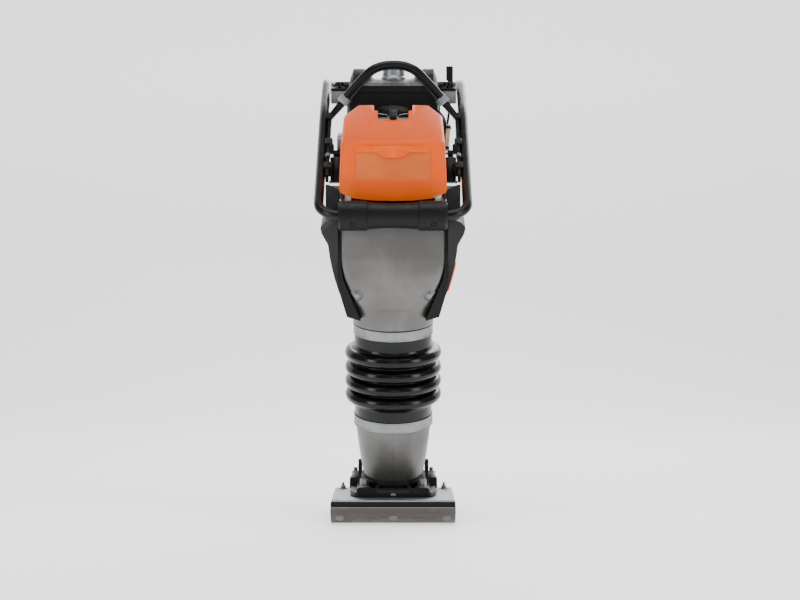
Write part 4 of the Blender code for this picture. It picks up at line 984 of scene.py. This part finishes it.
def build_frame_tubes():
    half = FRAME_X - CORNER_R
    turns = [math.radians(7.5 * i) for i in range(13)]
    corner = [(half + CORNER_R * math.sin(a), CORNER_R * (1 - math.cos(a))) for a in turns]
    front = [Vector((x, 0, 0)) + FRAME_FRONT + FRONT_SLOPE * h for x,
             h in corner + [(FRAME_X, CORNER_R + 0.01)]]
    tube("front_tube", mirrored(front[::-1]), TUBE_R, "black_enamel", "handle", 28,
         replaces=["front_cross_tube"])
    back = (FRAME_REAR_END - FRAME_BEND).normalized()
    for side, sign in SIDES:
        x = Vector((sign * FRAME_X, 0, 0))
        start = FRAME_FRONT + FRONT_SLOPE * (CORNER_R + 0.01 + GAP)
        route = softened([x + start, x + FRAME_KNEE, x + FRAME_BEND, x + FRAME_REAR_END], 0.035, False, 8)
        tube(f"side_tube_{side}", route, TUBE_R, "black_enamel", "handle", 28,
             replaces=[f"handle_tube_{side}"])
    rear_y = HANDLE_REAR_Y - FRAME_REAR_END.y
    bend = [(half + CORNER_R * math.cos(a), rear_y - CORNER_R + CORNER_R * math.sin(a)) for a in turns]
    rear = [Vector((x, 0, 0)) + FRAME_REAR_END + back * h for x, h in [(FRAME_X, GAP)] + bend]
    tube("rear_tube", mirrored(rear), TUBE_R, "black_enamel", "handle", 28, replaces=["rear_handle"])
    grip = [(TUBE_R + GAP, -0.095), (TUBE_R + GAP, 0.095), (0.0155, 0.095), (0.0155, 0.09)]
    for i in range(22):
        at = 0.086 - 0.0078 * i
        grip += [(0.014, at + 0.0015), (0.014, at - 0.0012), (0.015, at - 0.002), (0.015, at - 0.0048)]
    grip += [(0.0155, -0.09), (0.0155, -0.095)]
    turned("grip_sleeve", grip, "rubber", "handle", along((0, rear[-1].y, rear[-1].z), RIGHT), closed=True,
           edge=0.0005, steps=48, replaces=["rear_grip"])


def build_hoop():
    rise = mm("0,1054.5 18,1053.5 36,1049 54,1039.5 75,1019 103,988")
    rise += [(0.117, 0.971)]
    route = [(x, 0.05 + 0.16 * (1.0545 - z), z) for x, z in rise]
    route = smooth_path([(-x, y, z) for x, y, z in route[::-1]] + route[1:], 5)
    tube("hoop_arch", route, 0.011, "black_enamel", "handle", 28, replaces=["lifting_hoop"])
    for side, sign in SIDES:
        end = softened([(sign * x, z) for x, z in mm("99,980 149,924 158,933 112,993")], 0.004, True)
        parts = [(slab_bm(end, -0.086, -0.066, 0.003), front_view())]
        joined(f"hoop_end_{side}", parts, "black_enamel", "handle")
        down = Vector((sign * 0.028, 0.006, -0.034)).normalized()
        saddle = box_bm((-0.012, -0.012, -0.0085), (0.012, 0.012, 0.0085), 0.002)
        joined(f"hoop_saddle_{side}", [(saddle, along((sign * 0.1155, 0.064, 0.9735), down))], "zinc_steel",
               "handle")
        head = bolt_bm(0.005, 0.0055, 0.0075)
        joined(f"hoop_bolt_{side}", [(head, along((sign * 0.15, 0.0655, 0.937), FRONT))], "black_casting",
               "handle")
        sleeve = turned_bm(mm("6,-5.5 6,5.5 3,5.5 3,-5.5"), 32, closed=True)
        joined(f"leg_sleeve_{side}", [(sleeve, along((sign * 0.149, -0.0715, 0.832), FRONT_SLOPE))],
               "zinc_steel", "handle")
        for i, h in enumerate((0.19, 0.292)):
            at = Vector((sign * 0.149, 0, 0)) + FRAME_FRONT + FRONT_SLOPE * h
            clamp = box_bm((-0.0095, -0.014, -0.0115), (0.008, 0.014, 0.0115), 0.0025)
            joined(f"leg_clamp_{side}_{i}", [(clamp, along(at, FRONT_SLOPE))], "black_casting", "handle")


def build_mount(side, sign):
    block = box_bm((-0.0125, -0.026, -0.006), (0.0125, 0.026, 0.052), 0.004)
    place = shift(sign * 0.1315, -0.033, 0.779)
    collar = turned_bm(mm("0,0.5 16.5,0.5 16.5,6 15,7.5 0,7.5"), 48)
    joined(f"mount_rubber_{side}", [(block, place), (collar, place @ shift(0, 0, -0.0075))], "rubber",
           "housing", replaces=[f"rubber_mount_{side}"])
    joined(f"mount_cap_{side}", [(bolt_bm(0.0068, 0.017, 0.01), place @ shift(0, 0, 0.052))],
           "grey_plastic", "housing")
    plate = [(sign * x, z) for x, z in mm("118.5,700 149,700 150,760.5 143,760 118.5,748")]
    slab(f"shroud_plate_{side}", plate, 0.166, 0.1825, "grey_plastic", "housing", front_view(), 0.0015)


def build_tank():
    """A tank with two shoulders and a lower middle, a black lip along its front and a light filler neck."""
    bm = bmesh.new()
    rings = []
    spread = [(-0.1065, 0.016, 0), (-0.104, 0.006, 0.4), (-0.096, 0, 1), (-0.072, 0, 1), (-0.06, 0, 0.75)]
    spread += [(-0.048, 0, 0.1), (-0.03, 0, 0)]
    spread += [(-x, squeeze, high) for x, squeeze, high in spread[::-1]]
    for x, squeeze, high in spread:
        top = 1.037 + 0.026 * high
        outline = mm("110,936 104,990 106.5,1010 112,1016.5 126,1023")
        outline += [(0.15, 1.023 + (top - 1.023) * 0.55), (0.178, top - 0.001), (0.2, top), (0.272, top)]
        outline += [(0.29, top - 0.01), (0.295, 1.0), (0.293, 0.96), (0.28, 0.936)]
        ring = []
        for y, z in softened(outline, 0.006, True, 2):
            inward = Vector((0.198 - y, 0.995 - z)).normalized() * squeeze
            ring.append(bm.verts.new((x, y + inward.x, z + inward.y)))
        rings.append(ring)
    for first, second in zip(rings, rings[1:]):
        bridge(bm, first, second)
    bm.faces.new(rings[0][::-1])
    bm.faces.new(rings[-1])
    add_piece("tank_body", mesh_of(bm, "tank_body"), "black_plastic", "handle", smooth=40,
              replaces=["fuel_tank"])
    lip = mm("102,998 101.5,1012.5 107.5,1015 110,1010 108.5,999")
    joined("tank_lip", [(slab_bm(lip, -0.1, 0.1, 0.0012), side_view())], "black_casting", "handle")
    neck = mm("20,1030 33,1030 32,1042 27,1048 25.5,1069")
    neck += [(0.02, 1.069)]
    turned("filler_neck", neck, "zinc_steel", "handle", shift(0, 0.225, 0), closed=True, edge=0.001)
    cap = mm("0,15 21,15 24,12.5 24.5,1 0,1")
    knurl = [(box_bm((0.0232, -0.0016, 0.0015), (0.0256, 0.0016, 0.0115), 0.0006, 2),
              Matrix.Rotation(math.radians(20 * i), 4, "Z")) for i in range(18)]
    cap = turned_bm(cap, 64, edge=0.0015)
    place = shift(0, 0.225, 1.07)
    joined("cap_top", [(cap, place)] + [(bm, place @ turn) for bm, turn in knurl], "black_plastic",
           "fuel_cap", replaces=["fuel_cap"])
    for side, sign in SIDES:
        low, high = sorted((sign * 0.112, sign * 0.151))
        plate = box_bm((low, 0.1855, 0.978), (high, 0.1895, 1.0085), 0.001)
        holes = [bolt_bm(0.0045, 0.003, 0.0065), bolt_bm(0.0035, 0.0025, 0.005)]
        spots = [along((sign * x, 0.1855, z), FRONT) for x, z in ((0.123, 0.996), (0.14, 0.987))]
        upright = box_bm((min(sign * 0.1085, sign * 0.1125), 0.185, 0.9345),
                         (max(sign * 0.1085, sign * 0.1125), 0.21, 1.0085), 0.0008)
        bar = box_bm((-0.1125, 0.18, 0.9265), (0.1125, 0.215, 0.9345), 0.001)
        arm = box_bm((low, 0.19, 0.985), (high, 0.2105, 0.9895), 0.001)
        parts = [(shape, WORLD) for shape in (plate, upright, bar, arm)] + list(zip(holes, spots))
        if sign > 0:
            parts.append((box_bm((0.1465, 0.205, 0.986), (0.151, 0.258, 1.014), 0.001), WORLD))
        joined(f"bracket_face_{side}", parts, "zinc_steel", "handle", replaces=["tank_bracket"])
        star = [(bm_r * math.cos(math.radians(30 * i)), bm_r * math.sin(math.radians(30 * i)))
                for i, bm_r in enumerate([0.0105, 0.007] * 6)]
        knob = shift(sign * 0.131, 0.1975, 0)
        joined(f"bracket_pad_{side}", [(box_bm((low, 0.184, 1.0085), (high, 0.211, 1.015), 0.0015), WORLD),
                                       (slab_bm(star, 1.0215, 1.031, 0.001), knob),
                                       (turned_bm(mm("0,1024 4.5,1024 4.5,1010 0,1010"), 24), knob)],
               "black_plastic", "handle")


CABLE_ROUTE = mm("137,245,990 134,240,955 128,215,917 123,160,900 120,100,892 112,55,872 98,32,836")


def build_lines():
    tube("cable_sheath", smooth_path(CABLE_ROUTE), 0.003, "black_plastic", "handle", 16,
         replaces=["throttle_cable"])
    hose = mm("100,125,957 118,102,935 122.5,70,900 120,45,865 108,34,828 88,22,808")
    tube("fuel_hose", smooth_path(hose), 0.0045, "rubber", "handle", 16)
    tube("breather_tube", smooth_path(mm("123.5,10,850 126,18,880 129,30,912")),
         0.0048, "filter_paper", "handle", 20)
    for i, at in enumerate(((0.124, 0.012, 0.856), (0.1283, 0.027, 0.905))):
        ring = turned_bm(mm("4.9,-3 6.2,-3 6.2,3 4.9,3"), 24, closed=True)
        joined(f"tube_clip_{i}", [(ring, along(at, (0.09, 0.3, 1)))], "black_plastic", "handle")


build_filter_cover()
build_frame_tubes()
build_hoop()
for name_of_side, sign_of_side in SIDES:
    build_mount(name_of_side, sign_of_side)
build_tank()
build_lines()


# ---------------------------------------------------------------- the engine and its starter
def build_cylinder():
    parts = [(box_bm((-0.034, 0.149, 0.6655), (0.034, 0.227, 0.745), 0.004), LEG)]
    for i in range(9):
        s = 0.6695 + 0.0087 * i
        reach = 0.05 - 0.004 * (i % 2)
        parts.append((box_bm((-reach, 0.1485, s), (reach, 0.2278, s + 0.0032), 0.0012, 2), LEG))
    joined("cylinder_fins", parts, "cast_aluminium", "housing", replaces=["engine_cylinder"])
    top = softened(mm("-42,745.3 42,745.3 40,764 26,771 -26,771 -40,764"), 0.005, True)
    parts = [(slab_bm(top, -0.224, -0.152, 0.004), front_view(LEG))]
    for x in (-0.03, 0.03):
        for y in (0.163, 0.213):
            parts.append((bolt_bm(0.0045, 0.0045, 0.0065), LEG @ shift(x, y, 0.7655)))
    for x in (-0.012, 0, 0.012):
        parts.append((box_bm((x - 0.0015, 0.162, 0.77), (x + 0.0015, 0.214, 0.7735), 0.0007, 2), LEG))
    joined("rocker_lid", parts, "grey_plastic", "housing", replaces=["rocker_cover"])
    boot = softened(mm("0,36 7.8,36 9.8,30 9.2,14 12.8,6 13,0 0,0"), 0.0015)
    lead = smooth_path(mm("0,262,720 6,265.5,706 20,262,694 36,250,684 44,240,672"))
    joined("plug_boot", [(turned_bm(boot, 48), along((0, 0.2284, 0.72), BACK, LEG)),
                         (tube_bm(lead, 0.0035, 16), LEG)], "rubber", "housing", replaces=["spark_plug_cap"])
    parts = []
    for x in (-0.044, 0.044):
        for s in (0.56, 0.652):
            parts.append((bolt_bm(0.0055, 0.0065, 0.0085), along((x, 0.2343, s), BACK, LEG)))
    joined("block_bolts", parts, "zinc_steel", "housing")
    cap = mm("0,13 9.5,13 11,10 11,2 13,0.5 0,0.5")
    turned("oil_cap", cap, "black_plastic", "housing", along((0.0582, 0.195, 0.568), RIGHT, LEG), edge=0.0012,
           steps=48)


def build_muffler():
    shell = softened(mm("171,690 236,690 236,765 171,765"), 0.018, True, 6)
    pipe = turned_bm(mm("0,0 14,0 14,30 0,30"), 48)
    seam = softened(mm("169,727.5 238,727.5 238,729.5 169,729.5"), 0.0005, True)
    joined("muffler_shell", [(slab_bm(shell, -0.1185, -0.064, 0.006, 4), side_view(LEG)),
                             (slab_bm(seam, -0.103, -0.07, 0.0003), side_view(LEG)),
                             (pipe, along((-0.0803, 0.188, 0.728), RIGHT, LEG))],
           "worn_steel", "housing", replaces=["muffler"])
    outline = mm("167,686 240,686 240,771 167,771")
    guard = add_piece("muffler_screen", mesh_of(slab_bm(softened(outline, 0.006, True), -0.13, -0.105, 0.001),
                                                "muffler_screen"),
                      "zinc_steel", "housing", side_view(LEG), replaces=["muffler_guard"])
    inside = mm("169.5,688.5 237.5,688.5 237.5,768.5 169.5,768.5")
    slots = bmesh.new()
    for i in range(6):
        for k in range(2):
            at = shift(-0.12, 0.1865 + 0.034 * k, 0.6985 + 0.012 * i) @ Matrix.Diagonal(
                (0.04, 0.024, 0.0055, 1))
            bmesh.ops.create_cube(slots, size=1, matrix=at)
    cut(guard, [(slab_bm(inside, -0.1275, -0.095, 0), side_view(LEG)), (slots, LEG)])


def build_intake():
    route = mm("80,186,708.5 80,186,722 80,180,735 80,169,744 80,155,747 80,136.5,747")
    path = smooth_path(route, 6)
    parts = [(tube_bm(path, 0.0128, 40), LEG)]
    for here, there in list(zip(path, path[1:]))[2:-2:2]:
        ring = turned_bm(mm("12,-1.2 14,-0.6 14,0.6 12,1.2"), 40, closed=True)
        parts.append((ring, along(here, there - here, LEG)))
    joined("intake_hose", parts, "rubber", "housing", replaces=["intake_duct"])
    bowl = mm("0,0 14,0 16,3 16,18 17.5,19 17.5,22 0,22")
    parts = [(box_bm((0.0505, 0.168, 0.672), (0.1, 0.204, 0.708), 0.0035), LEG),
             (turned_bm(bowl, 48), LEG @ shift(0.08, 0.186, 0.65)),
             (turned_bm(mm("0,0 4,0 4,4 0,4"), 6), LEG @ shift(0.08, 0.186, 0.6465))]
    parts += [(bolt_bm(0.0035, 0.004, 0.005), along((0.0995, y, 0.68), RIGHT, LEG)) for y in (0.174, 0.198)]
    joined("carburettor_body", parts, "cast_aluminium", "housing", replaces=["carburettor"])
    arm = softened(mm("-6,-4 6,-4 3,26 -3,26"), 0.003, True)
    hub = turned_bm(mm("0,4.7 6,4.7 6,0 0,0"), 40)
    axis = LEG @ shift(0.1003, 0.186, 0.7)
    joined("choke_arm", [(slab_bm(arm, 0.0022, 0.0047, 0.0006), side_view(axis)),
                         (hub, along((0, 0, 0), RIGHT, axis))],
           "black_plastic", "choke_lever", replaces=["choke_lever"])


def build_starter():
    profile = mm("0,284 30,284 62,283.5 69.5,277 74,268 74,235 70.5,235 70.5,267 60,279.5 0,279.5")
    place = along((0, 0, SHAFT_HEIGHT), BACK, LEG)
    cover = add_piece("starter_shell", mesh_of(turned_bm(softened(profile, 0.0025), 72), "starter_shell"),
                      "black_plastic", "housing", place, replaces=["starter_cover"])
    slots = bmesh.new()
    for i in range(20):
        turn = Matrix.Rotation(math.radians(18 * i), 4, "Y") @ shift(0.0455, 0.285, 0)
        if abs(18 * i - 137) > 20:
            bmesh.ops.create_cube(slots, size=1, matrix=turn @ Matrix.Diagonal((0.024, 0.02, 0.0048, 1)))
    hole = turned_bm(mm("0,300 4.5,300 4.5,270 0,270"), 24)
    cut(cover, [(slots, LEG @ shift(0, 0, SHAFT_HEIGHT)), (hole, along((-0.045, 0, 0.64), BACK, LEG))])
    parts = [(turned_bm(mm("0,285.5 16.5,285.5 18,284.2 18,283.5 0,283.5"), 48), place)]
    for angle in (25, 115, 205, 295):
        at = Vector((0.0715 * math.cos(math.radians(angle)), 0.236,
                     SHAFT_HEIGHT + 0.0715 * math.sin(math.radians(angle))))
        ear = turned_bm(mm("0,8 7,8 7.8,6 7.8,0 0,0"), 32)
        parts += [(ear, along(at, BACK, LEG)), (bolt_bm(0.004, 0.0125, 0.006), along(at, BACK, LEG))]
    joined("starter_ears", parts, "black_casting", "housing")
    grip = softened(mm("-70,636 -62,632 -28,632 -20,636 -20,644 -30,648 -60,648 -70,644"), 0.003, True)
    rope = turned_bm(mm("0,290 2.2,290 2.2,264 0,264"), 20)
    joined("pull_handle", [(slab_bm(grip, -0.3025, -0.286, 0.0035, 4), front_view(LEG)),
                           (rope, along((-0.045, 0, 0.64), BACK, LEG))],
           "black_plastic", "starter_grip", replaces=["starter_grip"])


def build_plate_bolts():
    """Bolts round the plate that closes the gear chamber."""
    parts = []
    for x, s in mm("-92,475 92,475 -92,615 92,615 -92,545 92,545 -40,464 40,464"):
        parts.append((bolt_bm(0.0052, 0.006, 0.008), along((x, 0.111, s), BACK, LEG)))
    joined("plate_bolts", parts, "zinc_steel", "housing")
    route = mm("30,234,585 75,215,610 88,190,640")
    tube("earth_lead", smooth_path(route), 0.0022, "rubber", "housing", 12, place=LEG)


build_cylinder()
build_muffler()
build_intake()
build_starter()
build_plate_bolts()


# ---------------------------------------------------------------- the studio
CAMERA_AT = Vector((0.0155, -4.375, 0.504))


def add_light(name, at, target, size, power, colour=(1, 1, 1)):
    lamp = bpy.data.lights.new(name, "AREA")
    lamp.shape = "RECTANGLE"
    lamp.size, lamp.size_y = size
    lamp.energy = power
    lamp.color = colour
    thing = new_object(name, lamp)
    thing.location = at
    thing.rotation_euler = (Vector(target) - Vector(at)).to_track_quat("-Z", "Y").to_euler()


def build_stage():
    bm = bmesh.new()
    depth, half, rise = 4.2, 8.0, 4.6
    path = [(-7.0, 0.0)] + arc((depth - 1.5, 1.5), 1.5, -90, 0, 14) + [(depth, rise + 1.5)]
    rows = [[bm.verts.new((x, y, z - GAP)) for y, z in path] for x in (-half, half)]
    for i in range(len(path) - 1):
        bm.faces.new((rows[0][i], rows[1][i], rows[1][i + 1], rows[0][i + 1]))
    mesh = mesh_of(bm, "studio_floor")
    mesh.shade_smooth()
    floor = new_object("studio_floor", mesh)
    material = bpy.data.materials.new("paper_backdrop")
    material.use_nodes = True
    paper = material.node_tree.nodes["Principled BSDF"]
    paper.inputs["Base Color"].default_value = (0.93, 0.93, 0.93, 1)
    paper.inputs["Roughness"].default_value = 0.75
    paper.inputs["Emission Color"].default_value = (1, 1, 1, 1)
    paper.inputs["Emission Strength"].default_value = 0.95
    mesh.materials.append(material)

    world = bpy.data.worlds.new("studio")
    bpy.context.scene.world = world
    world.use_nodes = True
    world.node_tree.nodes["Background"].inputs["Color"].default_value = (1, 1, 1, 1)
    world.node_tree.nodes["Background"].inputs["Strength"].default_value = 0.3
    add_light("left_light", (-2.3, -1.9, 1.3), (0, 0, 0.5), (0.9, 2.2), 40)
    add_light("right_light", (2.3, -1.7, 1.3), (0, 0, 0.5), (0.9, 2.2), 38)
    add_light("top_light", (0, -0.6, 3.0), (0, 0, 0.6), (2.4, 1.6), 50)
    add_light("front_light", (0.3, -5.2, 1.9), (0, 0, 0.5), (1.6, 1.0), 14)
    add_light("back_light", (0.6, 2.6, 2.4), (0, 0, 0.6), (2.4, 1.6), 60)


def build_camera():
    camera = new_object("photo_camera", bpy.data.cameras.new("photo_camera"))
    camera.data.lens = 85
    camera.data.sensor_width = 36
    camera.data.clip_end = 50
    camera.location = CAMERA_AT
    camera.rotation_euler = (math.pi / 2, 0, 0)
    bpy.context.scene.camera = camera


build_stage()
build_camera()
